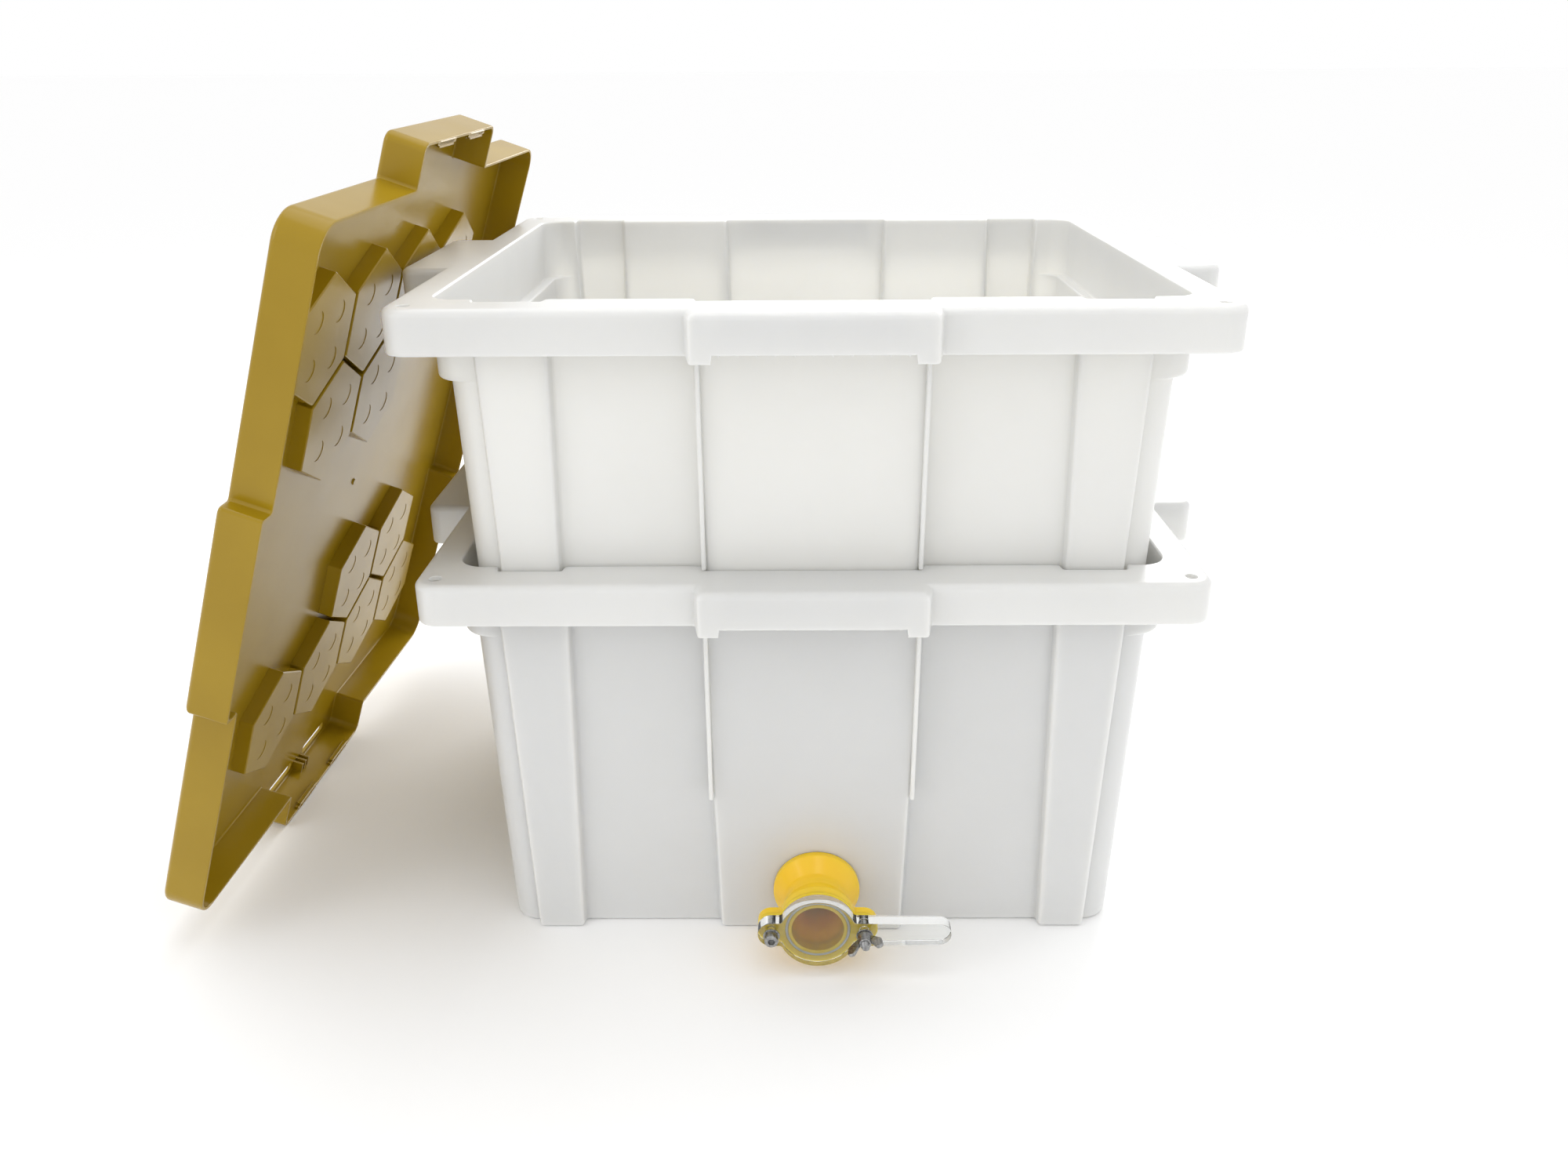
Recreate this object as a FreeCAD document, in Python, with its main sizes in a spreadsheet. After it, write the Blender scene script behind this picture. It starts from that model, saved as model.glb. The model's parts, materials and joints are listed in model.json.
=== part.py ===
import FreeCAD, Part
import math
import os
import re

import Sketcher

# A honey-frame tote kit: two identical nesting totes, the upper one standing in the lower one,
# a lid that leans against their left end, and a swing-blade honey gate low in the front wall.
# +X runs along the totes, -Y is the front with the gate, +Z is up. The origin is on the floor,
# under the middle of the lower tote. Lengths are millimetres and angles are degrees.

SIZES = {
    # tote: rim and walls
    "rim_long": 533.4, "rim_deep": 453.4, "tote_high": 303.0, "rim_round": 16.0,
    "skirt_high": 29.0, "skirt_thick": 2.6, "rim_thick": 3.0, "wall": 2.8, "floor_thick": 3.2,
    "draft": 0.025, "end_inset": 27.8, "side_inset": 32.0, "wall_round": 20.0,
    # raised columns and centre panel of the long walls
    "relief": 8.2, "relief_slope": 1.5, "relief_round": 2.0,
    "column_out": 217.9, "column_in": 166.4, "centre_half": 77.5,
    # shoulder of the end walls, which carries the frames' top bars
    "shoulder_half": 246.2, "shoulder_drop": 53.3,
    # centre bump of the rim, its tabs, fins and ribs
    "bump_half": 76.0, "bump_out": 12.8, "bump_slope": 3.0, "bump_rise": 3.0,
    "tab_wide": 14.3, "tab_drop": 5.6, "rib_pitch": 11.6, "rib_thick": 1.8, "rib_drop": 1.6,
    "fin_thick": 3.0, "fin_foot": 4.0, "fin_top": 8.0, "fin_gap": 0.4,
    # end handles
    "grip_reach": 298.0, "grip_half": 75.0, "grip_high": 31.4, "grip_round": 10.0,
    "grip_rib_pitch": 7.5, "grip_rib_deep": 9.0,
    # corner holes, drain holes, stack
    "corner_inset": 14.0, "corner_hole": 8.8, "stack_pitch": 183.5,
    "drain_hole": 6.0, "drain_pitch": 56.0,
    # lid
    "lid_long": 541.4, "lid_deep": 461.4, "lid_high": 30.0, "lid_wall": 2.5, "lid_round": 20.0,
    "end_bump_out": 33.0, "end_bump_half": 79.5, "side_bump_out": 12.8, "side_bump_half": 80.0,
    "hex_size": 41.8, "hex_pitch": 87.2, "hex_deep": 11.5,
    "slot_long": 44.0, "slot_wide": 9.0, "slot_off": 34.0,
    "hook_long": 30.0, "hook_reach": 3.0, "hook_thick": 3.0,
    "lid_lean": 19.0, "lid_yaw": -3.2, "lid_roll": 1.5,
    "lid_x": -382.8, "lid_y": -2.0, "lid_z": 299.2,
    # honey gate, measured outwards from the gasket face
    "gate_x": 4.0, "gate_z": 39.0, "gate_face": 197.6, "gate_bore": 38.0,
    "flange_wide": 65.0, "flange_thick": 4.0, "neck_wide": 47.0, "plate_back": 34.0,
    "plate_front": 42.5, "plate_wide": 57.0, "bolt_apart": 66.8, "ear_half": 10.0,
    "stub_wide": 47.0, "stub_long": 18.0, "stub_play": 0.3,
    "gasket_wide": 60.0, "gasket_thick": 2.4,
    "lock_wide": 60.0, "lock_thick": 8.0, "lobe_round": 4.0,
    "seal_ring": 22.5, "seal_cord": 1.1, "blade_gap": 0.4,
    "blade_thick": 9.5, "blade_disc": 56.0, "blade_tip": 96.0, "blade_root": 12.5,
    "blade_end": 9.0, "blade_slot": 6.8,
    "bolt_wide": 6.0, "bolt_play": 0.05, "head_wide": 10.0, "head_thick": 6.0, "key_wide": 5.0,
    "key_deep": 3.0, "washer_wide": 12.0, "washer_thick": 1.2, "nut_wide": 10.0,
    "nut_thick": 5.0, "wing_hub": 11.0, "wing_hub_long": 8.0, "wing_span": 27.0,
    "wing_rise": 15.0, "wing_thick": 2.6, "wing_turn": 22.0,
}
HEX_POINT = 2 / math.sqrt(3)      # corner distance of a hexagon over its flat distance
ROW_STEP = math.sqrt(3) / 2       # row distance of a honeycomb over its column distance
DRAIN_ROWS = range(-2, 3)
DRAIN_COLUMNS = range(-3, 4)
CENTRE_RIBS = range(-5, 6)
GRIP_RIBS = range(-9, 10)

doc = FreeCAD.newDocument("frame_tote_kit")
sheet = doc.addObject("Spreadsheet::Sheet", "sizes")
for row, (alias, number) in enumerate(SIZES.items(), 1):
    sheet.set("A%d" % row, alias)
    sheet.set("B%d" % row, str(number))
    sheet.setAlias("B%d" % row, alias)
doc.recompute()


# ---- helpers ----

def bound(expression):
    """The expression with every size name read from the sheet."""
    def name(match):
        word = match.group(0)
        return "sizes." + word if word in SIZES else word
    return re.sub(r"[a-z]+(?:_[a-z]+)*", name, str(expression))


def value(expression):
    """The number that an expression has now."""
    return float(sheet.evalExpression(bound(expression)))


def bind(thing, **expressions):
    """Bind properties to expressions; a double underscore stands for a dot."""
    for key, expression in expressions.items():
        thing.setExpression(key.replace("__", "."), bound(expression))
    return thing


def place(thing, x=0, y=0, z=0):
    return bind(thing, Placement__Base__x=x, Placement__Base__y=y, Placement__Base__z=z)


def constrain(sketch, rules, sizes):
    """Add plain rules, then sizes as (constraint, expression) pairs."""
    added = sketch.addConstraint(rules + [rule for rule, _ in sizes])
    for index, (_, expression) in zip(added[len(rules):], sizes):
        if re.search("[a-z]", str(expression)):
            sketch.setExpression("Constraints[%d]" % index, bound(expression))


def outline(sketch, corners):
    """A closed outline, counter-clockwise; a corner is (across, up, radius)."""
    spots = [FreeCAD.Vector(value(x), value(y), 0) for x, y, _ in corners]
    radii = [value(radius) for _, _, radius in corners]
    count = len(corners)
    starts, ends, arcs = [], [], []
    for i, spot in enumerate(spots):
        back = (spots[i - 1] - spot).normalize()
        ahead = (spots[(i + 1) % count] - spot).normalize()
        half = back.getAngle(ahead) / 2
        reach = radii[i] / math.tan(half)
        ends.append(spot + back * reach)
        starts.append(spot + ahead * reach)
        convex = back.cross(ahead).z < 0
        middle = spot + (back + ahead).normalize() * (radii[i] / math.sin(half))
        arcs.append((middle, convex))
    lines = sketch.addGeometry([Part.LineSegment(starts[i], ends[(i + 1) % count])
                                for i in range(count)], False)
    rules, sizes = [], []
    for i, (x, y, radius) in enumerate(corners):
        before, line = lines[i - 1], lines[i]
        if radii[i] == 0:
            rules.append(Sketcher.Constraint("Coincident", before, 2, line, 1))
            target = (line, 1)
        else:
            middle, convex = arcs[i]
            first, last = (ends[i], starts[i]) if convex else (starts[i], ends[i])
            low = math.atan2(first.y - middle.y, first.x - middle.x)
            high = math.atan2(last.y - middle.y, last.x - middle.x)
            circle = Part.Circle(middle, FreeCAD.Vector(0, 0, 1), radii[i])
            arc = sketch.addGeometry(Part.ArcOfCircle(circle, low, high), False)
            point = sketch.addGeometry(Part.Point(spots[i]), True)
            arc_in, arc_out = (1, 2) if convex else (2, 1)
            rules.append(Sketcher.Constraint("Tangent", before, 2, arc, arc_in))
            rules.append(Sketcher.Constraint("Tangent", arc, arc_out, line, 1))
            rules.append(Sketcher.Constraint("PointOnObject", point, 1, before))
            rules.append(Sketcher.Constraint("PointOnObject", point, 1, line))
            sizes.append((Sketcher.Constraint("Radius", arc, radii[i]), radius))
            target = (point, 1)
        sizes.append((Sketcher.Constraint("DistanceX", -1, 1, *target, spots[i].x), x))
        sizes.append((Sketcher.Constraint("DistanceY", -1, 1, *target, spots[i].y), y))
    constrain(sketch, rules, sizes)
    return sketch


def ring(sketch, radius, x=0, y=0):
    """A circle whose radius and centre are expressions."""
    centre = FreeCAD.Vector(value(x), value(y), 0)
    circle = sketch.addGeometry(Part.Circle(centre, FreeCAD.Vector(0, 0, 1), value(radius)), False)
    rules = ((Sketcher.Constraint("Radius", circle, value(radius)), radius),
             (Sketcher.Constraint("DistanceX", -1, 1, circle, 3, centre.x), x),
             (Sketcher.Constraint("DistanceY", -1, 1, circle, 3, centre.y), y))
    constrain(sketch, [], rules)
    return sketch


def mirrored(quadrant):
    """The whole outline from its +X +Y quarter, which runs from the X axis to the Y axis."""
    def flip(corner, across, up):
        x, y, radius = corner
        return ("-(%s)" % x if across else x, "-(%s)" % y if up else y, radius)
    return ([flip(c, False, False) for c in quadrant]
            + [flip(c, True, False) for c in reversed(quadrant)]
            + [flip(c, True, True) for c in quadrant]
            + [flip(c, False, True) for c in reversed(quadrant)])


def level(name, corners, height):
    """A horizontal outline at a height."""
    sketch = doc.addObject("Sketcher::SketchObject", name)
    outline(sketch, corners)
    return place(sketch, z=height)


def prism(name, corners, height, tall):
    """A horizontal outline raised by a height."""
    solid = doc.addObject("Part::Extrusion", name)
    solid.Base = level(name + "_outline", corners, height)
    solid.DirMode = "Custom"
    solid.Dir = FreeCAD.Vector(0, 0, 1)
    solid.Solid = True
    return bind(solid, LengthFwd=tall)


def loft(name, sections):
    solid = doc.addObject("Part::Loft", name)
    solid.Sections = sections
    solid.Solid = True
    solid.Ruled = True
    return solid


def block(name, x, y, z, long, wide, high):
    """A box from its low corner."""
    solid = doc.addObject("Part::Box", name)
    bind(solid, Length=long, Width=wide, Height=high)
    return place(solid, x, y, z)


def drill(name, radius, x, y, z, deep):
    solid = doc.addObject("Part::Cylinder", name)
    bind(solid, Radius=radius, Height=deep)
    return place(solid, x, y, z)


def fuse(name, shapes):
    solid = doc.addObject("Part::MultiFuse", name)
    solid.Shapes = shapes
    return solid


def cut(name, base, tool):
    solid = doc.addObject("Part::Cut", name)
    solid.Base = base
    solid.Tool = tool
    return solid


def new_body(name):
    body = doc.addObject("PartDesign::Body", name)
    body.Label = name
    return body


def body_sketch(body, name, role, away=0):
    """A sketch on one of the body's own origin planes, moved along its normal."""
    plane = [p for p in body.Origin.OriginFeatures if p.Role == role][0]
    sketch = body.newObject("Sketcher::SketchObject", name)
    sketch.AttachmentSupport = [(plane, "")]
    sketch.MapMode = "FlatFace"
    return bind(sketch, AttachmentOffset__Base__z=away)


def pad(body, sketch, long, middle=False):
    feature = body.newObject("PartDesign::Pad", sketch.Name + "_pad")
    feature.Profile = sketch
    feature.Midplane = middle
    return bind(feature, Length=long)


def pocket(body, sketch, deep, back=False):
    """A cut below the sketch, or above it where back is set."""
    feature = body.newObject("PartDesign::Pocket", sketch.Name + "_pocket")
    feature.Profile = sketch
    feature.Reversed = back
    return bind(feature, Length=deep)


def turned(body, name, profile):
    """A solid turned about the body's Y axis from (radius, along, corner radius) points."""
    sketch = outline(body_sketch(body, name, "XY_Plane"), profile)
    feature = body.newObject("PartDesign::Revolution", name + "_turn")
    feature.Profile = sketch
    feature.ReferenceAxis = (sketch, ["V_Axis"])
    feature.Angle = 360
    return feature


def washer_profile(inner, outer, back, front):
    """A ring between two distances outwards along -Y."""
    return [(inner, "-(%s)" % front, 0), (outer, "-(%s)" % front, 0),
            (outer, "-(%s)" % back, 0), (inner, "-(%s)" % back, 0)]


def hexagon(flat, x=0, y=0, pointed_up=False):
    """The six corners of a hexagon of a given flat distance."""
    corners = []
    for step in range(6):
        angle = math.radians(60 * step + (30 if pointed_up else 0))
        across = HEX_POINT / 2 * math.cos(angle)
        up = HEX_POINT / 2 * math.sin(angle)
        corners.append(("%s + (%s) * %.6f" % (x, flat, across),
                        "%s + (%s) * %.6f" % (y, flat, up), 0))
    return corners


# ---- the tote moulding, shared by both totes ----

def wall_plan(height, inset):
    """The wall's plan at a height, moved inwards by inset: recessed panels between a raised
    column near each corner and a raised panel in the middle of each long wall."""
    slack = "(tote_high - (%s)) * draft + (%s)" % (height, inset)
    end = "rim_long / 2 - end_inset - (%s)" % slack
    side = "rim_deep / 2 - side_inset - (%s)" % slack
    proud = "%s + relief" % side
    round_wall = "wall_round - (%s)" % inset
    out = "column_out - (%s)" % slack
    inner = "column_in + (%s)" % slack
    centre = "centre_half - (%s)" % slack
    return mirrored([
        (end, side, round_wall),
        (out, side, "relief_round"), (out + " - relief_slope", proud, "relief_round"),
        (inner + " + relief_slope", proud, "relief_round"), (inner, side, "relief_round"),
        (centre, side, "relief_round"), (centre + " - relief_slope", proud, "relief_round")])


def rim_plan(inset):
    """The rim's plan with the bump in the middle of each long side."""
    half = "bump_half - (%s)" % inset
    return mirrored([
        ("rim_long / 2 - (%s)" % inset, "rim_deep / 2 - (%s)" % inset,
         "rim_round - (%s)" % inset),
        ("%s + bump_slope" % half, "rim_deep / 2 - (%s)" % inset, "relief_round"),
        (half, "rim_deep / 2 + bump_out - (%s)" % inset, "relief_round")])


def rectangle(half_x, half_y, radius):
    return mirrored([(half_x, half_y, radius)])


def build_tote():
    """One nesting tote: drafted walls, shoulder, downturned rim, end grips, fins and ribs."""
    under = "tote_high - skirt_high"
    outside = loft("tote_outside", [
        level("outside_low", wall_plan("0", "0"), "0"),
        level("outside_high", wall_plan("tote_high", "0"), "tote_high")])
    inside = loft("tote_inside", [
        level("inside_low", wall_plan("floor_thick", "wall"), "floor_thick"),
        level("inside_high", wall_plan("tote_high", "wall"), "tote_high")])
    side = "rim_deep / 2 - side_inset"
    flush = side + " - shoulder_drop * draft - wall / 4"
    shoulder = prism("shoulder", rectangle("shoulder_half", flush, "wall_round"),
                     "tote_high - shoulder_drop", "shoulder_drop")
    shoulder_room = prism("shoulder_room",
                          rectangle("shoulder_half - wall", flush + " - wall",
                                    "wall_round - wall"),
                          "tote_high - shoulder_drop + wall", "shoulder_drop - wall")

    rim = prism("rim_block", rim_plan("0"), under, "skirt_high")
    channel = prism("rim_channel", rim_plan("skirt_thick"), under, "skirt_high - rim_thick")
    rim_ring = cut("rim_ring", rim, channel)
    raised = [block("bump_gap_%d" % k, "-(bump_half - tab_wide)",
                    side_y, under, "2 * (bump_half - tab_wide)", "bump_out + skirt_thick",
                    "bump_rise")
              for k, side_y in enumerate(("rim_deep / 2 - skirt_thick",
                                          "-(rim_deep / 2 + bump_out)"))]
    rim_skirt = cut("rim_skirt", rim_ring, fuse("bump_gaps", raised))

    # each long side: tabs and fins at the ends of the bump, and ribs between skirt and wall
    extras = []
    proud = "%s + relief" % side
    for front in (False, True):
        tag = "front" if front else "back"
        for right in (False, True):
            name = "%s_%s" % (tag, "right" if right else "left")
            x = "bump_half - tab_wide" if right else "-(bump_half)"
            y = "-(rim_deep / 2 + bump_out)" if front else "rim_deep / 2 + bump_out - skirt_thick"
            extras.append(block("tab_" + name, x, y, under + " - (tab_drop - bump_rise)",
                                "tab_wide", "skirt_thick", "tab_drop"))
            extras.append(build_fin(name, front, right))
        for k in CENTRE_RIBS:
            y = "-(rim_deep / 2 + bump_out) + 0.5" if front else "%s - 1" % proud
            extras.append(block("rib_%s_%d" % (tag, k + 5), "%d * rib_pitch - rib_thick / 2" % k,
                                y, under + " + bump_rise - rib_drop", "rib_thick",
                                "rim_deep / 2 + bump_out - 0.5 - (%s) + 1" % proud,
                                "skirt_high - bump_rise + rib_drop - rim_thick / 2"))

    grips = [build_grip(right) for right in (False, True)]
    grip_mouths = [block("grip_mouth_%d" % right,
                         "shoulder_half" if right else "-(grip_reach - grip_round)",
                         "-(grip_half - skirt_thick)", "tote_high - grip_high",
                         "grip_reach - grip_round - shoulder_half",
                         "2 * (grip_half - skirt_thick)", "grip_high - rim_thick")
                   for right in (0, 1)]
    open_rim = cut("open_rim", rim_skirt, fuse("grip_mouths", grip_mouths))

    bulk = fuse("tote_bulk", [outside, shoulder, open_rim] + grips + extras)
    holes = [drill("corner_hole_%d" % k, "corner_hole / 2",
                   "%d * (rim_long / 2 - corner_inset)" % sx,
                   "%d * (rim_deep / 2 - corner_inset)" % sy,
                   "tote_high - 2 * rim_thick", "3 * rim_thick")
             for k, (sx, sy) in enumerate(((-1, -1), (1, -1), (1, 1), (-1, 1)))]
    return cut("tote", bulk, fuse("tote_rooms", [inside, shoulder_room] + holes))


def build_fin(name, front, right):
    """A fin under a tab. Its foot stands on the rim of the tote below when the totes nest."""
    foot = "tote_high - stack_pitch + fin_gap"
    top = "tote_high - skirt_high"
    wall_low = "(rim_deep / 2 - side_inset + relief - (stack_pitch - fin_gap) * draft)"
    wall_high = "(rim_deep / 2 - side_inset + relief - skirt_high * draft)"
    sketch = doc.addObject("Sketcher::SketchObject", "fin_%s_outline" % name)
    corners = [("%s - 1.5" % wall_low, foot, 0), ("%s + fin_foot" % wall_low, foot, 0),
               ("%s + fin_top" % wall_high, top, 0), ("%s - 1.5" % wall_high, top, 0)]
    if front:
        corners = [("-(%s)" % y, z, r) for y, z, r in reversed(corners)]
    outline(sketch, corners)
    sketch.Placement.Rotation = FreeCAD.Rotation(90, 0, 90)
    solid = doc.addObject("Part::Extrusion", "fin_" + name)
    solid.Base = sketch
    solid.DirMode = "Custom"
    solid.Dir = FreeCAD.Vector(1, 0, 0)
    solid.Solid = True
    solid.Symmetric = True
    bind(solid, LengthFwd="fin_thick")
    return place(solid, x="%d * (centre_half - relief_slope - 2.5)" % (1 if right else -1))


def build_grip(right):
    """An end grip: a hollow shelf flush with the rim, open underneath, with ribs inside."""
    tag = "right" if right else "left"

    def plan(inset):
        root = "rim_long / 2 - skirt_thick"
        tip = "grip_reach - (%s)" % inset
        half = "grip_half - (%s)" % inset
        round_tip = "grip_round - (%s)" % inset
        corners = [(root, "-(%s)" % half, 0), (tip, "-(%s)" % half, round_tip),
                   (tip, half, round_tip), (root, half, 0)]
        if right:
            return corners
        return [("-(%s)" % x, y, r) for x, y, r in reversed(corners)]

    shelf = prism("grip_%s_shelf" % tag, plan("0"), "tote_high - grip_high", "grip_high")
    room = prism("grip_%s_room" % tag, plan("skirt_thick"), "tote_high - grip_high",
                 "grip_high - rim_thick")
    ribs = [block("grip_%s_rib_%d" % (tag, k + 9),
                  "shoulder_half" if right else "-(grip_reach - skirt_thick)",
                  "%d * grip_rib_pitch - rib_thick / 2" % k,
                  "tote_high - rim_thick - grip_rib_deep",
                  "grip_reach - skirt_thick - shoulder_half", "rib_thick",
                  "grip_rib_deep + rim_thick / 2") for k in GRIP_RIBS]
    return fuse("grip_" + tag, [cut("grip_%s_shell" % tag, shelf, room)] + ribs)


# ---- the lid ----

def lid_plan(inset):
    """The lid's plan seen from outside: across is the short way, up is the long way."""
    across = "lid_deep / 2 - (%s)" % inset
    up = "lid_long / 2 - (%s)" % inset
    turn = "relief_round"
    return mirrored([
        ("%s + side_bump_out" % across, "side_bump_half - (%s)" % inset, turn),
        (across, "side_bump_half - (%s)" % inset, turn),
        (across, up, "lid_round - (%s)" % inset),
        ("end_bump_half - (%s)" % inset, up, turn),
        ("end_bump_half - (%s)" % inset, "%s + end_bump_out" % up, "3 * relief_round")])


def honeycomb():
    """Centres of the twelve raised hexagons: two rows of four and two rows of two."""
    far = 1.11 + ROW_STEP
    spots = [((k - 1.75), far) for k in range(4)] + [((k - 1.25), far - ROW_STEP)
                                                     for k in range(2)]
    spots += [(-across, -up) for across, up in spots]
    return [("%.4f * hex_pitch" % across, "%.4f * hex_pitch" % up) for across, up in spots]


def build_lid():
    """The lid stands on its lower end bump, its open side towards the totes."""
    body = new_body("lid")
    pad(body, outline(body_sketch(body, "lid_edge", "YZ_Plane"), lid_plan("0")), "lid_high")
    doc.recompute()
    pocket(body, outline(body_sketch(body, "lid_hollow", "YZ_Plane", "lid_high"),
                         lid_plan("lid_wall")), "lid_high - lid_wall")
    doc.recompute()
    bosses = body_sketch(body, "lid_bosses", "YZ_Plane")
    dents = body_sketch(body, "lid_dents", "YZ_Plane")
    for x, y in honeycomb():
        outline(bosses, hexagon("2 * hex_size", x, y, True))
        outline(dents, hexagon("2 * (hex_size - lid_wall)", x, y, True))
    pad(body, bosses, "lid_wall + hex_deep")
    doc.recompute()
    pocket(body, dents, "hex_deep", back=True)
    doc.recompute()
    slots = body_sketch(body, "lid_slots", "YZ_Plane")
    hooks = body_sketch(body, "lid_hooks", "YZ_Plane", "lid_high - hook_thick")
    edge = "(lid_long / 2 + end_bump_out - lid_wall)"
    for end in (-1, 1):
        for side in (-1, 1):
            middle = "%d * slot_off" % side
            slot = [(middle + " - slot_long / 2", edge + " - slot_wide - 4", 0),
                    (middle + " + slot_long / 2", edge + " - slot_wide - 4", 0),
                    (middle + " + slot_long / 2", edge + " - 4", 0),
                    (middle + " - slot_long / 2", edge + " - 4", 0)]
            hook = [(middle + " - hook_long / 2", edge + " - hook_reach", 0),
                    (middle + " + hook_long / 2", edge + " - hook_reach", 0),
                    (middle + " + hook_long / 2", edge + " + 1", 0),
                    (middle + " - hook_long / 2", edge + " + 1", 0)]
            if end < 0:
                slot = [(x, "-(%s)" % y, r) for x, y, r in reversed(slot)]
                hook = [(x, "-(%s)" % y, r) for x, y, r in reversed(hook)]
            outline(slots, slot)
            outline(hooks, hook)
    pocket(body, slots, "lid_wall", back=True)
    doc.recompute()
    pad(body, hooks, "hook_thick")
    body.setExpression("Placement", bound(
        "placement(vector(lid_x; lid_y; lid_z); rotation(lid_yaw; lid_lean; lid_roll))"))
    return body


# ---- the honey gate ----

def gate_place(thing, along=0):
    """Place a piece whose Y axis is a bolt or bore axis; along is its distance from the bore."""
    return place(thing, "gate_x + %s" % along, "-gate_face", "gate_z")


def build_gate_body():
    body = new_body("gate_body")
    turned(body, "gate_profile", [
        ("gate_bore / 2", "-plate_front", 0), ("plate_wide / 2", "-plate_front", 1),
        ("plate_wide / 2", "-plate_back", 1), ("neck_wide / 2 + 2", "-plate_back", 1),
        ("neck_wide / 2", "-(flange_thick + 20)", 8), ("neck_wide / 2", "-(flange_thick + 13)", 4),
        ("flange_wide / 2", "-flange_thick", 0),
        ("flange_wide / 2", 0, 0), ("stub_wide / 2", 0, 0), ("stub_wide / 2", "stub_long", 0),
        ("gate_bore / 2", "stub_long", 0)])
    doc.recompute()
    ears = body_sketch(body, "gate_ears", "XZ_Plane", "plate_back")
    half = "bolt_apart / 2 + ear_half"
    outline(ears, mirrored([(half, "ear_half", "ear_half - 0.5")]))
    pad(body, ears, "plate_front - plate_back")
    doc.recompute()
    bores = body_sketch(body, "gate_bores", "XZ_Plane", "plate_back - 1")
    ring(bores, "gate_bore / 2")
    for sign in (-1, 1):
        ring(bores, "bolt_wide / 2 + bolt_play", "%d * bolt_apart / 2" % sign)
    pocket(body, bores, "plate_front - plate_back + 2", back=True)
    doc.recompute()
    groove = body_sketch(body, "seal_groove", "XZ_Plane", "plate_front")
    ring(groove, "seal_ring + seal_cord")
    ring(groove, "seal_ring - seal_cord")
    pocket(body, groove, "1.7 * seal_cord")
    return gate_place(body)


def build_gasket(tote):
    """The soft ring fills the wedge between the flat flange and the drafted wall."""
    ring_blank = doc.addObject("Part::Cylinder", "gasket_blank")
    bind(ring_blank, Radius="gasket_wide / 2", Height="gasket_thick + 0.6")
    bore = doc.addObject("Part::Cylinder", "gasket_bore")
    bind(bore, Radius="stub_wide / 2 + stub_play", Height="gasket_thick + 0.6")
    for blank in (ring_blank, bore):
        blank.Placement.Rotation = FreeCAD.Rotation(FreeCAD.Vector(1, 0, 0), -90)
        place(blank, "gate_x", "-gate_face", "gate_z")
    return cut("gate_gasket", cut("gasket_ring", ring_blank, bore), tote)


def build_lock_nut():
    body = new_body("gate_lock_nut")
    back = "stub_long - lock_thick - 3"
    turned(body, "lock_profile", [
        ("stub_wide / 2 + 0.02", back, 0), ("lock_wide / 2", back, 1),
        ("lock_wide / 2", "%s + lock_thick" % back, 1),
        ("stub_wide / 2 + 0.02", "%s + lock_thick" % back, 0)])
    doc.recompute()
    lobes = body_sketch(body, "lock_lobes", "XZ_Plane", "-(%s + lock_thick)" % back)
    for angle in range(0, 360, 60):
        across, up = math.cos(math.radians(angle)), math.sin(math.radians(angle))
        ring(lobes, "lobe_round", "%.4f * lock_wide / 2" % across, "%.4f * lock_wide / 2" % up)
    pad(body, lobes, "lock_thick")
    return gate_place(body)


def build_seal():
    seal = doc.addObject("Part::Torus", "gate_seal")
    bind(seal, Radius1="seal_ring", Radius2="seal_cord - 0.05")
    seal.Placement.Rotation = FreeCAD.Rotation(FreeCAD.Vector(1, 0, 0), 90)
    return place(seal, "gate_x", "-(gate_face + plate_front - 0.7 * seal_cord)", "gate_z")


def build_blade():
    """The clear blade: a disc over the bore, an ear on the pivot and a long lever. Its slot is
    open below, so the lever swings up off the clamp bolt."""
    body = new_body("gate_blade")
    back = "plate_front + blade_gap"
    lever = body_sketch(body, "blade_lever", "XZ_Plane", back)
    left = "bolt_apart / 2 + ear_half"
    outline(lever, [
        ("-(%s)" % left, "-(ear_half)", "ear_half - 0.5"), (0, "-blade_root", 0),
        ("blade_disc / 2 + 8", "-blade_root", 2), ("blade_tip", "-blade_end", "blade_end - 1"),
        ("blade_tip", "blade_end", "blade_end - 1"), ("blade_disc / 2 + 8", "blade_root", 2),
        (0, "blade_root", 0), ("-(%s)" % left, "ear_half", "ear_half - 0.5")])
    pad(body, lever, "blade_thick")
    doc.recompute()
    pad(body, ring(body_sketch(body, "blade_disc_outline", "XZ_Plane", back),
                   "blade_disc / 2"), "blade_thick")
    doc.recompute()
    holes = body_sketch(body, "blade_holes", "XZ_Plane", back + " - 1")
    ring(holes, "bolt_wide / 2 + bolt_play", "-bolt_apart / 2")
    slot_x = "bolt_apart / 2"
    outline(holes, [
        (slot_x + " - blade_slot / 2 - 1.5", "-blade_root - 6", 0),
        (slot_x + " + blade_slot / 2 - 1.5", "-blade_root - 6", 0),
        (slot_x + " + blade_slot / 2", "blade_slot / 2", "blade_slot / 2 - 0.3"),
        (slot_x + " - blade_slot / 2", "blade_slot / 2", "blade_slot / 2 - 0.3")])
    pocket(body, holes, "blade_thick + 2", back=True)
    return gate_place(body)


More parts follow.
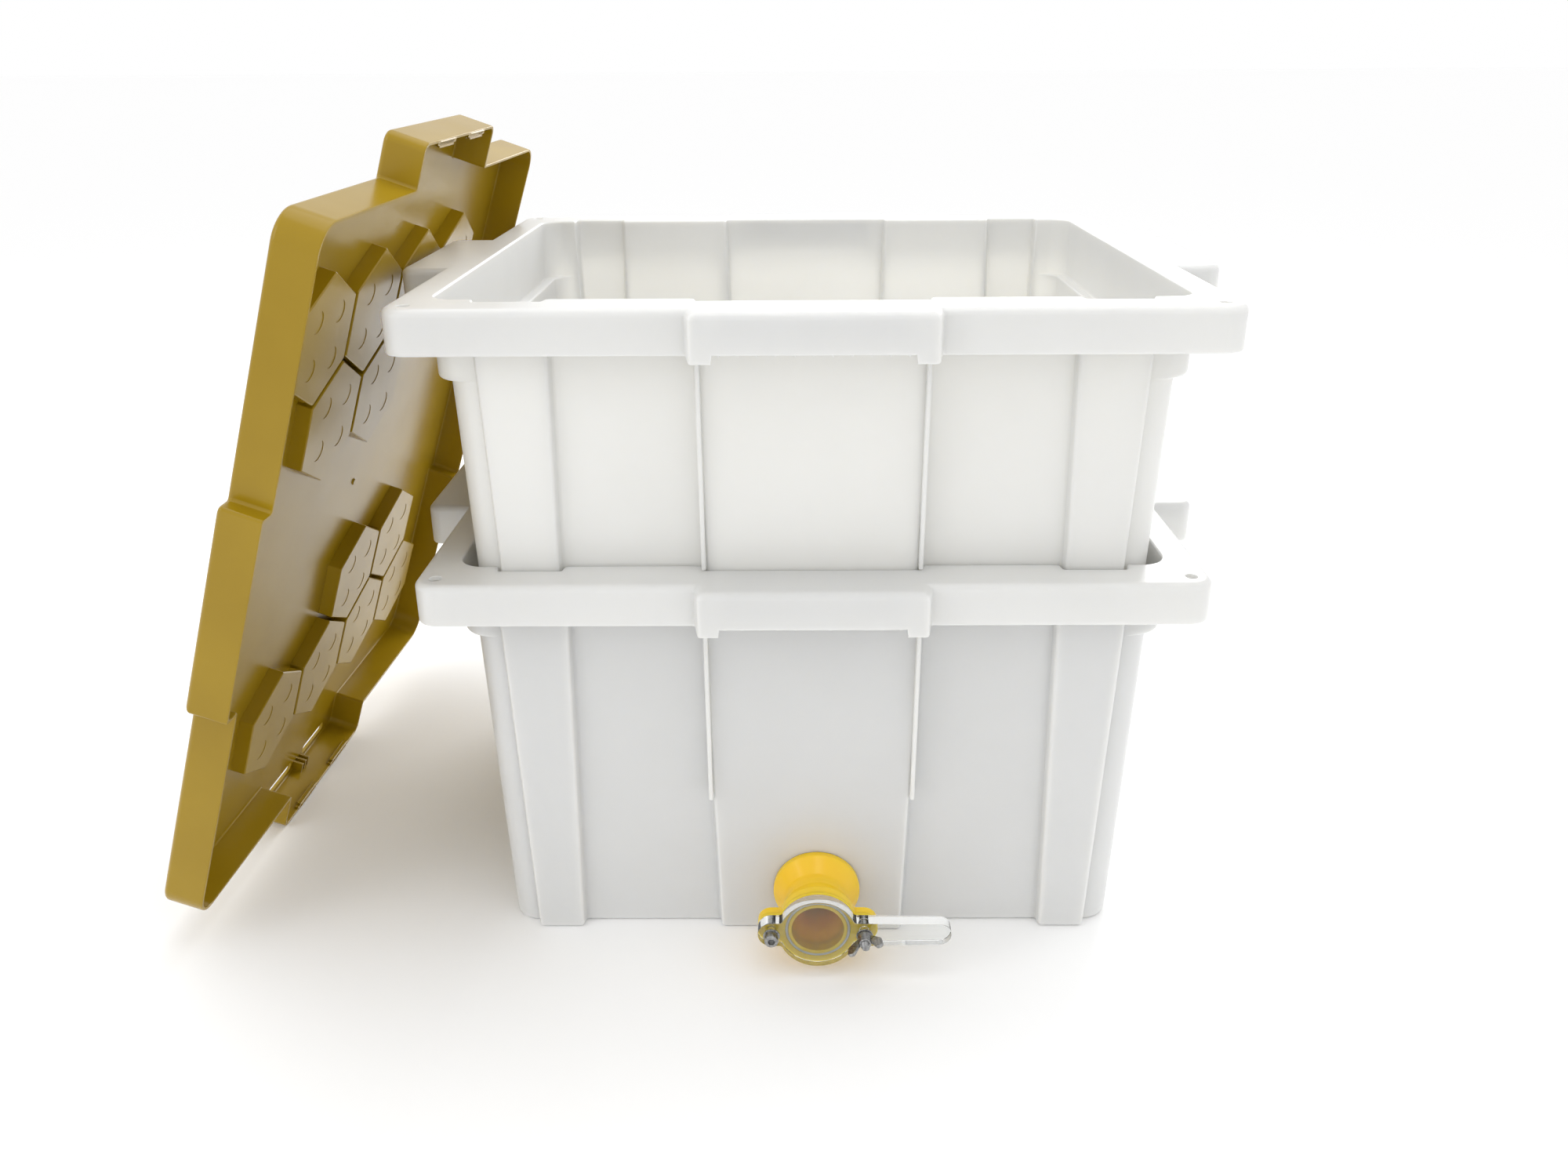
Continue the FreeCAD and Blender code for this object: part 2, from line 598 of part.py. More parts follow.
def build_bolt(name, sign, tail, front, socket):
    """A bolt along Y: its head in front with a hexagon socket, or behind as a hexagon."""
    body = new_body(name)
    radius = "bolt_wide / 2"
    if socket:
        turned(body, name + "_profile", [
            (0, "-(%s + head_thick)" % front, 0), ("head_wide / 2", "-(%s + head_thick)" % front, 0.6),
            ("head_wide / 2", "-(%s)" % front, 0), (radius, "-(%s)" % front, 0),
            (radius, "-(%s)" % tail, 0), (0, "-(%s)" % tail, 0)])
        doc.recompute()
        key = body_sketch(body, name + "_socket", "XZ_Plane", "%s + head_thick" % front)
        outline(key, hexagon("key_wide"))
        pocket(body, key, "key_deep")
    else:
        turned(body, name + "_profile", [
            (0, "-(%s)" % front, 0), (radius, "-(%s)" % front, 0.8),
            (radius, "-(%s)" % tail, 0), (0, "-(%s)" % tail, 0)])
        doc.recompute()
        head = body_sketch(body, name + "_head", "XZ_Plane", "%s - head_thick * 0.7" % tail)
        outline(head, hexagon("nut_wide"))
        pad(body, head, "head_thick * 0.7")
    return gate_place(body, "%d * bolt_apart / 2" % sign)


def build_nut(name, sign, back):
    body = new_body(name)
    sketch = body_sketch(body, name + "_outline", "XZ_Plane", back)
    outline(sketch, hexagon("nut_wide"))
    ring(sketch, "bolt_wide / 2")
    pad(body, sketch, "nut_thick")
    return gate_place(body, "%d * bolt_apart / 2" % sign)


def build_washer(name, sign, back, bore="bolt_wide / 2"):
    body = new_body(name)
    turned(body, name + "_profile",
           washer_profile(bore, "washer_wide / 2", back, "%s + washer_thick" % back))
    return gate_place(body, "%d * bolt_apart / 2" % sign)


def build_wing_nut(back):
    """A cast wing nut: a conical hub and two flared wings."""
    body = new_body("wing_nut")
    bore = "bolt_wide / 2 + bolt_play"
    turned(body, "wing_hub_profile", [
        (bore, "-(wing_hub_long)", 0), ("wing_hub / 2 - 1.2", "-(wing_hub_long)", 0.6),
        ("wing_hub / 2", 0, 0), (bore, 0, 0)])
    doc.recompute()
    wings = body_sketch(body, "wing_outline", "XY_Plane")
    for sign in (-1, 1):
        corners = [(bore + " + 1", "-2", 0), (bore + " + 1", "-(wing_hub_long - 1)", 0),
                   ("wing_span / 2 - 5", "-wing_rise", 2), ("wing_span / 2", "-wing_rise", 2),
                   ("wing_span / 2 - 1", "-(wing_rise - 8)", 2), ("wing_hub / 2", "-2", 0)]
        if sign < 0:
            corners = [("-(%s)" % x, y, r) for x, y, r in corners]
        else:
            corners = list(reversed(corners))
        outline(wings, corners)
    pad(body, wings, "wing_thick", middle=True)
    body.setExpression("Placement", bound(
        "placement(vector(gate_x + bolt_apart / 2; -(gate_face + %s); gate_z);"
        " rotation(0; -wing_turn; 0))" % back))
    return body


# ---- assembly ----

tote = build_tote()
doc.recompute()

gate_hole = drill("gate_hole", "stub_wide / 2 + stub_play", "gate_x",
                  "-(gate_face - gasket_thick - 30)", "gate_z", 60)
gate_hole.Placement.Rotation = FreeCAD.Rotation(FreeCAD.Vector(1, 0, 0), 90)
lower_tote = cut("lower_tote", tote, gate_hole)
drains = fuse("drain_drill", [
    drill("drain_%d_%d" % (column + 3, row + 2), "drain_hole / 2",
          "%d * drain_pitch" % column, "%d * drain_pitch" % row, "-1", "floor_thick + 2")
    for column in DRAIN_COLUMNS for row in DRAIN_ROWS])
upper_tote = place(cut("upper_tote", tote, drains), z="stack_pitch")

blade_front = "plate_front + blade_gap + blade_thick"
washer_back = blade_front + " + 0.4"
nodes = [
    lower_tote, upper_tote, build_lid(), build_gate_body(), build_gasket(lower_tote),
    build_lock_nut(), build_seal(), build_blade(),
    build_washer("pivot_washer", -1, washer_back),
    build_bolt("pivot_bolt", -1, "plate_back - 9", washer_back + " + washer_thick", True),
    build_nut("pivot_nut", -1, "plate_back - nut_thick"),
    build_washer("clamp_washer", 1, washer_back),
    build_bolt("clamp_bolt", 1, "plate_back", blade_front + " + 14", False),
    build_wing_nut(washer_back + " + washer_thick + 0.3")]
for node in nodes:
    node.Label = node.Name
doc.recompute()

faults = [thing.Name for thing in doc.Objects
          if "Invalid" in thing.State or "Error" in thing.State]
faults += [node.Name for node in nodes if node.Shape.isNull() or not node.Shape.isValid()]
if faults:
    raise RuntimeError("not built: " + ", ".join(faults))

os.makedirs("parts", exist_ok=True)
for node in nodes:
    node.Shape.exportStep("parts/%s.step" % node.Label)
    box = node.Shape.BoundBox
    print("%-14s solids %d volume %.0f box %.1f %.1f %.1f to %.1f %.1f %.1f" % (
        node.Label, len(node.Shape.Solids), node.Shape.Volume,
        box.XMin, box.YMin, box.ZMin, box.XMax, box.YMax, box.ZMax))
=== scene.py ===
import json
import math

import bmesh
import bpy
from mathutils import Euler, Matrix, Vector
from mathutils.geometry import delaunay_2d_cdt


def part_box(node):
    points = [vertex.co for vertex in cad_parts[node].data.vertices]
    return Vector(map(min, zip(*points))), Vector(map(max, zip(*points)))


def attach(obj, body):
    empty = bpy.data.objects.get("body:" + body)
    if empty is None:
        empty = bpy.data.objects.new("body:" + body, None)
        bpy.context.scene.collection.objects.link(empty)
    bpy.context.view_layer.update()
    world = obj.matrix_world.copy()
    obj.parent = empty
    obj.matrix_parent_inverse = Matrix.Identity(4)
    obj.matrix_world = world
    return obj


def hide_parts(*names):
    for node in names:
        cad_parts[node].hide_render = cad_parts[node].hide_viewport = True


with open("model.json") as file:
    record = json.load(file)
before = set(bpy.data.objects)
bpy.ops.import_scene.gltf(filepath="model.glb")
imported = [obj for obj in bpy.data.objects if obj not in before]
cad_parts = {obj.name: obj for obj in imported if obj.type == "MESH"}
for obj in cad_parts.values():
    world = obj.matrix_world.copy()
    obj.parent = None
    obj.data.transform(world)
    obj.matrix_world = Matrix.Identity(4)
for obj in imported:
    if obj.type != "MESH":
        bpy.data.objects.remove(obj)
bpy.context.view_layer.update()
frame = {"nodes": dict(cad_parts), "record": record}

# The looks of a honey-frame tote kit: two nested translucent totes, a gold lid leaning against
# their left end, and a yellow honey gate with a clear blade. Sizes are millimetres times MM.

MM = 0.001

# ---- sizes shared by the pieces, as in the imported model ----

RIM_LONG, RIM_DEEP, TOTE_HIGH = 533.4 * MM, 453.4 * MM, 303.0 * MM
RIM_ROUND, SKIRT_HIGH, SKIRT, RIM_THICK = 16.0 * MM, 29.0 * MM, 2.6 * MM, 3.0 * MM
WALL, FLOOR, DRAFT = 2.8 * MM, 3.2 * MM, 0.025
END_INSET, SIDE_INSET, WALL_ROUND = 27.8 * MM, 32.0 * MM, 20.0 * MM
RELIEF, RELIEF_SLOPE, RELIEF_ROUND = 8.2 * MM, 1.5 * MM, 2.4 * MM
COLUMN_OUT, COLUMN_IN, CENTRE_HALF = 217.9 * MM, 166.4 * MM, 77.5 * MM
SHOULDER_HALF, SHOULDER_DROP = 246.2 * MM, 53.3 * MM
BUMP_HALF, BUMP_OUT, BUMP_SLOPE, BUMP_RISE = 76.0 * MM, 12.8 * MM, 3.0 * MM, 3.0 * MM
TAB_WIDE, TAB_DROP = 14.3 * MM, 5.6 * MM
RIB_PITCH, RIB_THICK, RIB_DROP = 11.6 * MM, 1.8 * MM, 1.6 * MM
FIN_THICK, FIN_FOOT, FIN_TOP, FIN_GAP = 3.0 * MM, 4.0 * MM, 8.0 * MM, 0.4 * MM
GRIP_REACH, GRIP_HALF, GRIP_HIGH, GRIP_ROUND = 298.0 * MM, 75.0 * MM, 31.4 * MM, 10.0 * MM
GRIP_RIB_PITCH, GRIP_RIB_DEEP = 7.5 * MM, 9.0 * MM
CORNER_INSET, CORNER_HOLE, STACK_PITCH = 14.0 * MM, 8.8 * MM, 183.5 * MM
DRAIN_HOLE, DRAIN_PITCH = 6.0 * MM, 56.0 * MM
DRAIN_COLUMNS, DRAIN_ROWS = range(-3, 4), range(-2, 3)
LID_LONG, LID_DEEP, LID_HIGH, LID_WALL, LID_ROUND = (541.4 * MM, 461.4 * MM, 30.0 * MM,
                                                     2.5 * MM, 20.0 * MM)
END_BUMP_OUT, END_BUMP_HALF = 33.0 * MM, 79.5 * MM
SIDE_BUMP_OUT, SIDE_BUMP_HALF = 12.8 * MM, 80.0 * MM
HEX_SIZE, HEX_PITCH, HEX_DEEP = 41.8 * MM, 87.2 * MM, 11.5 * MM
SLOT_LONG, SLOT_WIDE, SLOT_OFF = 44.0 * MM, 9.0 * MM, 34.0 * MM
HOOK_LONG, HOOK_REACH, HOOK_THICK = 30.0 * MM, 3.0 * MM, 3.0 * MM
HEX_FIRST_ROW, HEX_FOUR_START, HEX_TWO_START = 1.11, 1.75, 1.25    # in hexagon pitches
LID_PLACE = Vector((-382.8, -2.0, 299.2)) * MM
LID_YAW, LID_LEAN, LID_ROLL = (math.radians(angle) for angle in (-3.2, 19.0, 1.5))
GATE_BORE, STUB_WIDE, STUB_LONG, STUB_PLAY = 38.0 * MM, 47.0 * MM, 18.0 * MM, 0.3 * MM
FLANGE_WIDE, FLANGE_THICK, NECK_WIDE = 65.0 * MM, 4.0 * MM, 47.0 * MM
PLATE_WIDE, PLATE_THICK, BOLT_APART, EAR_HALF = 57.0 * MM, 8.5 * MM, 66.8 * MM, 10.0 * MM
SEAL_RING, SEAL_CORD = 22.5 * MM, 1.1 * MM
BLADE_DISC, BLADE_END, BLADE_SLOT = 56.0 * MM, 9.0 * MM, 6.8 * MM
BOLT_WIDE, HEAD_WIDE, HEAD_THICK, KEY_WIDE = 6.0 * MM, 10.0 * MM, 6.0 * MM, 5.0 * MM
WASHER_WIDE, NUT_WIDE = 12.0 * MM, 10.0 * MM
WING_HUB, WING_HUB_LONG, WING_SPAN, WING_RISE, WING_THICK = (11.0 * MM, 8.0 * MM, 27.0 * MM,
                                                             15.0 * MM, 2.6 * MM)
WING_TURN = math.radians(22)
BOLT_X, BOLT_PLAY, KEY_DEEP, TIP_GAP, SLOT_FLARE = (BOLT_APART / 2, 0.05 * MM, 3.0 * MM,
                                                    0.1 * MM, 0.8 * MM)
THREAD_PITCH, THREAD_DEEP, THREAD_POINT, PIVOT_THREAD = (1.0 * MM, 0.5 * MM, 0.6 * MM,
                                                         12.0 * MM)
FORWARDS = Matrix(((1, 0, 0), (0, 0, -1), (0, 1, 0))).to_4x4()      # height runs towards -Y

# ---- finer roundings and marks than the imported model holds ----

COLUMN_FILLET, FOOT_ROUND, SHOULDER_ROUND, LIP_ROUND = (1.1 * MM, 3.5 * MM, 2.5 * MM,
                                                        1.5 * MM)
FLOOR_ROUND, CROWN, LID_CROWN, EDGE = 3.5 * MM, 5.0 * MM, 4.0 * MM, 0.8 * MM
MARK_WIDE, MARK_APART, MARK_DEEP = 16.0 * MM, 34.0 * MM, 0.35 * MM
OVERLAP = 0.3 * MM           # how far a tote's rib reaches into the shell it is united with
BUMP_OVERLAP = 1.0 * MM      # the same for the lid's lips and ribs
RIB_INSET, FIN_INSET, TAB_STEP = 0.9 * MM, 2.5 * MM, 0.8 * MM
FIN_ROOT, GRIP_ROOT, GRIP_DROP = 1.5 * MM, 1.0 * MM, 0.02 * MM
RIB_ROUND, SMALL_ROUND, FIN_ROUND = 0.5 * MM, 0.4 * MM, 1.0 * MM
DENT_CORNER, BOSS_CORNER, HEX_FIRST_ANGLE = 2.0 * MM, 1.2 * MM, 30
SLOT_ROUND, SLOT_MARGIN, HOOK_FOOT = 3.0 * MM, 4.0 * MM, 4.0 * MM
END_RIB_PITCH, END_RIB_THICK, END_RIB_LONG = 6.0 * MM, 1.4 * MM, 9.0 * MM
SPRUE_FOOT, SPRUE_TOP, SPRUE_HIGH = 3.2 * MM, 2.4 * MM, 1.2 * MM
SEAL_DEEP, SHELL_OVERLAP, PART_EDGE, NUT_CORNER = 1.8 * MM, 0.4 * MM, 0.35 * MM, 0.6 * MM
WHOLE_HULL, SAME_POINT = 0, 1e-6      # how delaunay_2d_cdt fills, and its tolerance in mm

# ---- the view and the room ----

CAMERA_PLACE = Vector((-14.1, -940.6, 627.6)) * MM
CAMERA_PITCH, CAMERA_YAW, CAMERA_ROLL = (math.radians(angle)
                                         for angle in (20.804, -0.376, -0.333))
CAMERA_LENS, CAMERA_SENSOR, CAMERA_SHIFT = 27.33, 36, -0.0495
FLOOR_HALF = 60      # metres, so that the floor's far edge never shows
SHARP = math.radians(42)


# ---- camera, floor and light ----

def make_camera():
    """The main view: a wide lens in front of the gate, looking down on the rims."""
    pitch, yaw, roll = CAMERA_PITCH, CAMERA_YAW, CAMERA_ROLL
    forward = Vector((math.sin(yaw) * math.cos(pitch), math.cos(yaw) * math.cos(pitch),
                      -math.sin(pitch)))
    level = Vector((math.cos(yaw), -math.sin(yaw), 0))
    upright = level.cross(forward)
    right = math.cos(roll) * level + math.sin(roll) * upright
    up = -math.sin(roll) * level + math.cos(roll) * upright
    data = bpy.data.cameras.new("camera")
    camera = bpy.data.objects.new("camera", data)
    bpy.context.scene.collection.objects.link(camera)
    turn = Matrix((right, up, -forward)).transposed().to_4x4()
    camera.matrix_world = Matrix.Translation(CAMERA_PLACE) @ turn
    data.lens = CAMERA_LENS
    data.sensor_width = CAMERA_SENSOR
    data.shift_y = CAMERA_SHIFT
    bpy.context.scene.camera = camera


def make_stage():
    """A plain white floor, wide enough to have no visible end."""
    mesh = bpy.data.meshes.new("floor")
    half = FLOOR_HALF
    mesh.from_pydata([(-half, -half, 0), (half, -half, 0), (half, half, 0), (-half, half, 0)],
                     [], [(0, 1, 2, 3)])
    floor = bpy.data.objects.new("floor", mesh)
    bpy.context.scene.collection.objects.link(floor)
    paper = bpy.data.materials.new("paper")
    paper.use_nodes = True
    shader = paper.node_tree.nodes["Principled BSDF"]
    shader.inputs["Base Color"].default_value = (0.99, 0.99, 0.99, 1)
    shader.inputs["Roughness"].default_value = 0.9
    shader.inputs["Specular IOR Level"].default_value = 0.1
    mesh.materials.append(paper)


def area_light(name, place, target, size, power):
    data = bpy.data.lights.new(name, "AREA")
    data.shape = "RECTANGLE"
    data.size, data.size_y = size
    data.energy = power
    light = bpy.data.objects.new(name, data)
    light.location = place
    light.rotation_mode = "QUATERNION"
    light.rotation_quaternion = (Vector(target) - Vector(place)).to_track_quat("-Z", "Y")
    light.visible_camera = False
    bpy.context.scene.collection.objects.link(light)


def make_lights():
    world = bpy.data.worlds.new("studio")
    bpy.context.scene.world = world
    world.use_nodes = True
    world.node_tree.nodes["Background"].inputs["Color"].default_value = (1, 1, 1, 1)
    world.node_tree.nodes["Background"].inputs["Strength"].default_value = 1.0
    area_light("top_softbox", (0.1, 0.1, 2.0), (0, 0, 0.3), (1.8, 1.6), 10)
    area_light("left_softbox", (-1.7, -1.2, 1.3), (-0.2, 0, 0.3), (0.9, 1.2), 5)
    area_light("back_softbox", (0.4, 1.5, 0.8), (-0.3, 0, 0.25), (1.2, 0.9), 18)
    bpy.context.scene.view_settings.view_transform = "Standard"


# ---- materials ----

def new_material(name):
    """A Principled material, its nodes, and a function that links two sockets."""
    material = bpy.data.materials.new(name)
    material.use_nodes = True
    tree = material.node_tree
    return material, tree.nodes, tree.nodes["Principled BSDF"], tree.links.new


def noise(nodes, link, scale, detail=3.0, stretch=(1, 1, 1)):
    """A noise measured in the piece's own metres."""
    where = nodes.new("ShaderNodeTexCoord")
    mapping = nodes.new("ShaderNodeMapping")
    mapping.inputs["Scale"].default_value = stretch
    link(where.outputs["Object"], mapping.inputs["Vector"])
    texture = nodes.new("ShaderNodeTexNoise")
    texture.inputs["Scale"].default_value = scale
    texture.inputs["Detail"].default_value = detail
    link(mapping.outputs["Vector"], texture.inputs["Vector"])
    return texture.outputs["Fac"]


def ramp(nodes, link, value, low, high, start=0.35, end=0.65):
    """A colour that runs from low to high as value goes from start to end."""
    node = nodes.new("ShaderNodeValToRGB")
    node.color_ramp.elements[0].position = start
    node.color_ramp.elements[1].position = end
    node.color_ramp.elements[0].color = (*low, 1)
    node.color_ramp.elements[1].color = (*high, 1)
    link(value, node.inputs["Fac"])
    return node.outputs["Color"]


def span(nodes, link, value, low, high):
    """A number that runs from low to high with value."""
    node = nodes.new("ShaderNodeMapRange")
    node.inputs["From Min"].default_value = 0.3
    node.inputs["From Max"].default_value = 0.7
    node.inputs["To Min"].default_value = low
    node.inputs["To Max"].default_value = high
    link(value, node.inputs["Value"])
    return node.outputs["Result"]


def bump(nodes, link, height, strength, distance, below=None):
    """A normal bent by a height, on top of another normal where one is given."""
    node = nodes.new("ShaderNodeBump")
    node.inputs["Strength"].default_value = strength
    node.inputs["Distance"].default_value = distance
    link(height, node.inputs["Height"])
    if below is not None:
        link(below, node.inputs["Normal"])
    return node.outputs["Normal"]


def plastic(name, low, high, rough, soft=0.0, depth=0.004, grain=900, waves=0.25, index=1.5):
    """Moulded plastic: slow colour drift, scuffed gloss, a fine grain and shallow sink waves."""
    material, nodes, shader, link = new_material(name)
    drift = noise(nodes, link, 9, 4)
    link(ramp(nodes, link, drift, low, high), shader.inputs["Base Color"])
    scuffs = noise(nodes, link, 25, 4)
    link(span(nodes, link, scuffs, rough * 0.92, rough * 1.1), shader.inputs["Roughness"])
    sink = bump(nodes, link, noise(nodes, link, 11, 1), waves, 0.0015)
    fine = bump(nodes, link, noise(nodes, link, grain, 1), 0.05, 0.0001, sink)
    link(fine, shader.inputs["Normal"])
    shader.inputs["Subsurface Weight"].default_value = soft
    shader.inputs["Subsurface Radius"].default_value = (1.0, 0.97, 0.9)
    shader.inputs["Subsurface Scale"].default_value = depth
    shader.inputs["IOR"].default_value = index
    return material


def acrylic(name):
    """Clear sheet with faint scuffs."""
    material, nodes, shader, link = new_material(name)
    shader.inputs["Base Color"].default_value = (0.97, 0.985, 0.98, 1)
    shader.inputs["Transmission Weight"].default_value = 1
    shader.inputs["IOR"].default_value = 1.49
    scuffs = noise(nodes, link, 120, 5)
    link(span(nodes, link, scuffs, 0.01, 0.06), shader.inputs["Roughness"])
    link(bump(nodes, link, noise(nodes, link, 300, 3), 0.04, 0.0002), shader.inputs["Normal"])
    return material


def steel(name):
    """Turned steel: fine lines round the part, uneven gloss."""
    material, nodes, shader, link = new_material(name)
    turned_lines = noise(nodes, link, 500, 4, (1, 0.15, 1))
    link(ramp(nodes, link, turned_lines, (0.24, 0.24, 0.25), (0.42, 0.42, 0.41)),
         shader.inputs["Base Color"])
    shader.inputs["Metallic"].default_value = 1
    link(span(nodes, link, noise(nodes, link, 250, 3), 0.18, 0.38), shader.inputs["Roughness"])
    link(bump(nodes, link, turned_lines, 0.15, 0.0001), shader.inputs["Normal"])
    return material


def rubber(name):
    """Pale soft rubber with a fine grain."""
    material, nodes, shader, link = new_material(name)
    link(ramp(nodes, link, noise(nodes, link, 80, 4), (0.48, 0.47, 0.44), (0.58, 0.57, 0.54)),
         shader.inputs["Base Color"])
    shader.inputs["Roughness"].default_value = 0.75
    link(bump(nodes, link, noise(nodes, link, 700, 3), 0.2, 0.0002), shader.inputs["Normal"])
    return material


# ---- mesh helpers ----

def rounded(corners):
    """Points of a closed counter-clockwise outline; a corner is (x, y, radius, steps)."""
    points = []
    for i, (x, y, radius, steps) in enumerate(corners):
        if radius <= 0:
            points.append((x, y))
            continue
        here = Vector((x, y))
        back = (Vector(corners[i - 1][:2]) - here).normalized()
        ahead = (Vector(corners[(i + 1) % len(corners)][:2]) - here).normalized()
        half = back.angle(ahead) / 2
        middle = here + (back + ahead).normalized() * (radius / math.sin(half))
        start = here + back * (radius / math.tan(half)) - middle
        turn = (math.pi - 2 * half) * (1 if back.cross(ahead) < 0 else -1)
        for step in range(steps + 1):
            angle = turn * step / steps
            points.append((middle.x + start.x * math.cos(angle) - start.y * math.sin(angle),
                           middle.y + start.x * math.sin(angle) + start.y * math.cos(angle)))
    return points


def four_ways(quarter):
    """The corners of a whole outline from its +X +Y quarter, which starts at the X axis."""
    def flip(corner, across, up):
        return (corner[0] * across, corner[1] * up, *corner[2:])
    return ([flip(c, 1, 1) for c in quarter] + [flip(c, -1, 1) for c in reversed(quarter)]
            + [flip(c, -1, -1) for c in quarter] + [flip(c, 1, -1) for c in reversed(quarter)])


def circle(radius, x=0.0, y=0.0, steps=32):
    return [(x + radius * math.cos(math.tau * k / steps),
             y + radius * math.sin(math.tau * k / steps)) for k in range(steps)]


def hexagon(flat, x=0.0, y=0.0, first=0.0, corner=0.0):
    """A hexagon of a given distance across its flats, with rounded corners."""
    reach = flat / math.sqrt(3)
    spots = [math.radians(first + 60 * k) for k in range(6)]
    return rounded([(x + reach * math.cos(a), y + reach * math.sin(a), corner, 3)
                    for a in spots])


def quarter_round(radius, steps=5):
    """(tuck, drop) pairs of a rounded edge, from the face it starts on to the side."""
    angles = [math.pi / 2 * k / steps for k in range(steps + 1)]
    return [(radius * (1 - math.sin(a)), radius * (1 - math.cos(a))) for a in angles]


def shrunk(points, distance):
    """An outline moved inwards along its corners' bisectors."""
    moved = []
    for i, point in enumerate(points):
        here = Vector(point)
        before = (here - Vector(points[i - 1])).normalized()
        after = (Vector(points[(i + 1) % len(points)]) - here).normalized()
        inward = Vector((-before.y - after.y, before.x + after.x)).normalized()
        moved.append(tuple(here + inward * (distance / max(0.5, inward.dot(
            Vector((-before.y, before.x)))))))
    return moved


def crosses(spot, one, other):
    """True if a ray from spot along +X crosses the edge from one to other."""
    if (one.y > spot.y) == (other.y > spot.y):
        return False
    return spot.x < one.x + (other.x - one.x) * (spot.y - one.y) / (other.y - one.y)


class Skin:
    """A closed surface built from rings of points, placed by a matrix."""

    def __init__(self, place=None):
        self.mesh = bmesh.new()
        self.place = place or Matrix.Identity(4)

    def ring(self, points, height):
        """A ring at a height, which may depend on the point."""
        return [self.mesh.verts.new(
            self.place @ Vector((x, y, height(x, y) if callable(height) else height)))
            for x, y in points]

    def join(self, one, other, skip=()):
        for i in range(len(one)):
            if i not in skip:
                k = (i + 1) % len(one)
                self.mesh.faces.new((one[i], one[k], other[k], other[i]))

    def stack(self, rings, skip=(), skip_at=None):
        """Walls between rings that follow each other. Faces in skip are left open in one wall."""
        for number, (one, other) in enumerate(zip(rings, rings[1:])):
            self.join(one, other, skip if number == skip_at else ())
        return rings[-1]

    def cap(self, ring):
        self.mesh.faces.new(ring)

    def fill(self, *rings):
        """A flat face between an outer ring and the rings of its holes."""
        verts = [vert for ring in rings for vert in ring]
        normal = sum((a.co.cross(b.co) for a, b in zip(rings[0], rings[0][1:] + rings[0][:1])),
                     Vector()).normalized()
        across = normal.orthogonal().normalized()
        up = normal.cross(across)
        flat = [Vector((vert.co.dot(across) / MM, vert.co.dot(up) / MM)) for vert in verts]
        edges, first = [], 0
        for ring in rings:
            edges += [(first + i, first + (i + 1) % len(ring)) for i in range(len(ring))]
            first += len(ring)
        made = delaunay_2d_cdt(flat, edges, [], WHOLE_HULL, SAME_POINT, True)
        for face in made[2]:
            spots = [made[3][i][0] for i in face]
            middle = sum((flat[i] for i in spots), Vector((0, 0))) / 3
            if sum(crosses(middle, flat[a], flat[b]) for a, b in edges) % 2:
                self.mesh.faces.new([verts[i] for i in spots])

    def box(self, one, other, soft):
        """A box between two corners with rounded edges."""
        low = [min(pair) for pair in zip(one, other)]
        high = [max(pair) for pair in zip(one, other)]
        made = bmesh.ops.create_cube(self.mesh, size=1)["verts"]
        for vert in made:
            vert.co = self.place @ Vector([low[k] if vert.co[k] < 0 else high[k]
                                           for k in range(3)])
        self.soften(made, soft)

    def soften(self, verts, soft, steps=2):
        edges = dict.fromkeys(edge for vert in verts for edge in vert.link_edges)
        bmesh.ops.bevel(self.mesh, geom=list(edges), offset=soft, segments=steps, profile=0.5,
                        affect="EDGES", clamp_overlap=True)

    def slab(self, points, low, high, soft, holes=()):
        """A plate with rounded edges and straight holes between two heights."""
        rings = [self.ring(shrunk(points, tuck), low + drop)
                 for tuck, drop in quarter_round(soft, 3)]
        rings += [self.ring(shrunk(points, tuck), high - drop)
                  for tuck, drop in reversed(quarter_round(soft, 3))]
        self.stack(rings)
        tubes = [[self.ring(hole, low), self.ring(hole, high)] for hole in holes]
        for tube in tubes:
            self.stack(tube)
        self.fill(rings[0], *[tube[0] for tube in tubes])
        self.fill(rings[-1], *[tube[1] for tube in tubes])

    def turned(self, profile, steps=72):
        """A ring-shaped solid turned about the height axis from (radius, height) points."""
        rings = [self.ring(circle(radius, steps=steps), height) for radius, height in profile]
        self.stack(rings + rings[:1])

    def to_object(self, name):
        bmesh.ops.recalc_face_normals(self.mesh, faces=self.mesh.faces)
        data = bpy.data.meshes.new(name)
        self.mesh.to_mesh(data)
        self.mesh.free()
        made = bpy.data.objects.new(name, data)
        bpy.context.scene.collection.objects.link(made)
        return made

    def finish(self, name, body, slot, *replaced, grown=None):
        """The piece, united with the closed shapes of the skin grown, if there is one."""
        piece = self.to_object(name)
        if grown:
            tool = grown.to_object("grown")
            union = piece.modifiers.new("union", "BOOLEAN")
            union.operation = "UNION"
            union.solver = "EXACT"
            union.use_self = True
            union.object = tool
            shape = piece.evaluated_get(bpy.context.evaluated_depsgraph_get())
            piece.data = bpy.data.meshes.new_from_object(shape)
            piece.modifiers.clear()
            bpy.data.objects.remove(tool)
        data = piece.data
        data.materials.clear()
        data.materials.append(MATERIALS[slot])
        data.shade_smooth()
        data.set_sharp_from_angle(angle=SHARP)
        weighted = piece.modifiers.new("weighted", "WEIGHTED_NORMAL")
        weighted.keep_sharp = True
        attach(piece, body)
        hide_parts(*replaced)
        return piece


# ---- totes ----

